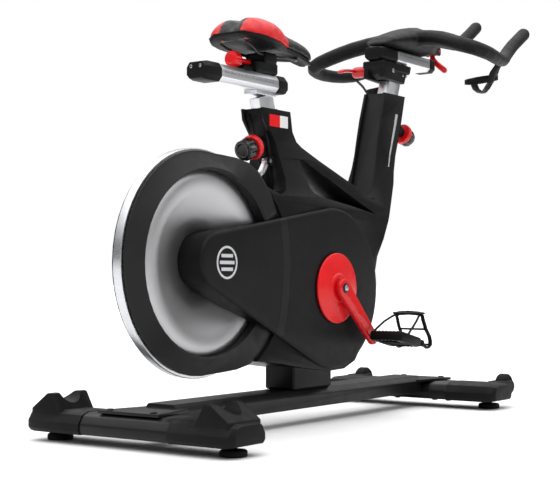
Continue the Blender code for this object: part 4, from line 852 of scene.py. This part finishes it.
def kept_in(obj, low, high):
    """Holds a soft piece inside its CAD box."""
    for vert in obj.data.vertices:
        vert.co = Vector([min(max(vert.co[i], low[i]), high[i]) for i in range(3)])


def cushion():
    obj = saddle_form()
    remesh = obj.modifiers.new("even", "REMESH")
    remesh.mode = "VOXEL"
    remesh.voxel_size = 0.004
    smooth = obj.modifiers.new("ease", "SMOOTH")
    smooth.factor = 0.5
    smooth.iterations = 4
    applied(obj, 80.0)
    stuffed(obj, 4.0, 0.005)
    kept_in(obj, SADDLE[0] - Vector((0.002, 0.003, 0.0)), SADDLE[1] + Vector((0.002, 0.003, 0.003)))
    finer = obj.modifiers.new("finer", "SUBSURF")
    finer.levels = finer.render_levels = 1
    applied(obj, 80.0)
    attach(obj, "saddle")
    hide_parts("saddle_cushion")
    return obj


# ---------------------------------------------------------------- stage
SKY_LOW, SKY_HIGH = 0.14, 2.6
TOP_LIGHT = 0.35


def stage():
    """A pale floor under a large soft light overhead, dimmer towards the sides, on a white backdrop."""
    world = bpy.data.worlds.new("studio")
    bpy.context.scene.world = world
    world.use_nodes = True
    nodes, links = world.node_tree.nodes, world.node_tree.links
    nodes.clear()
    split = nodes.new("ShaderNodeSeparateXYZ")
    links.new(nodes.new("ShaderNodeTexCoord").outputs["Generated"], split.inputs[0])
    height = nodes.new("ShaderNodeMapRange")
    links.new(split.outputs["Z"], height.inputs["Value"])
    height.inputs["From Min"].default_value = 0.10
    height.interpolation_type = "SMOOTHSTEP"
    height.inputs["To Min"].default_value = SKY_LOW
    height.inputs["To Max"].default_value = SKY_HIGH
    soft, backdrop = nodes.new("ShaderNodeBackground"), nodes.new("ShaderNodeBackground")
    links.new(height.outputs[0], soft.inputs["Strength"])
    seen = nodes.new("ShaderNodeMixShader")
    links.new(nodes.new("ShaderNodeLightPath").outputs["Is Camera Ray"], seen.inputs[0])
    links.new(soft.outputs[0], seen.inputs[1])
    links.new(backdrop.outputs[0], seen.inputs[2])
    for node in (soft, backdrop):
        node.inputs["Color"].default_value = (1.0, 1.0, 1.0, 1.0)
    backdrop.inputs["Strength"].default_value = 1.0
    links.new(seen.outputs[0], nodes.new("ShaderNodeOutputWorld").inputs[0])
    floor = Shader("pale_floor", roughness=0.9, Specular_IOR_Level=0.1)
    floor.set("Base Color", floor.mix(floor.spread(floor.noise(3.0), 0.0, 1.0), rgba((0.80, 0.80, 0.80)),
                                      rgba((0.83, 0.83, 0.83))))
    bm = bmesh.new()
    bmesh.ops.create_grid(bm, x_segments=1, y_segments=1, size=60.0)
    piece("floor", bm, floor.material, None)
    light = bpy.data.lights.new("soft_top", "SUN")
    light.angle = math.radians(40.0)
    light.energy = TOP_LIGHT
    lamp = bpy.data.objects.new("soft_top", light)
    lamp.rotation_mode = "QUATERNION"
    lamp.rotation_quaternion = Vector((0.45, 0.35, -1.0)).to_track_quat("-Z", "Y")
    bpy.context.scene.collection.objects.link(lamp)


def camera():
    heading, pitch = math.radians(54.275), math.radians(1.857)
    level = math.cos(pitch)
    forward = Vector((math.sin(heading) * level, math.cos(heading) * level, math.sin(pitch)))
    data = bpy.data.cameras.new("camera")
    data.lens = 82.3
    data.sensor_width = 36.0
    cam = bpy.data.objects.new("camera", data)
    cam.location = (-2.4595, -1.6560, 0.3200)
    cam.rotation_mode = "QUATERNION"
    cam.rotation_quaternion = forward.to_track_quat("-Z", "Y")
    bpy.context.scene.collection.objects.link(cam)
    bpy.context.scene.camera = cam
    bpy.context.scene.view_settings.view_transform = "Standard"


base()
body_shell()
guard()
drive()
seat()
cushion()
bar()
stage()
camera()
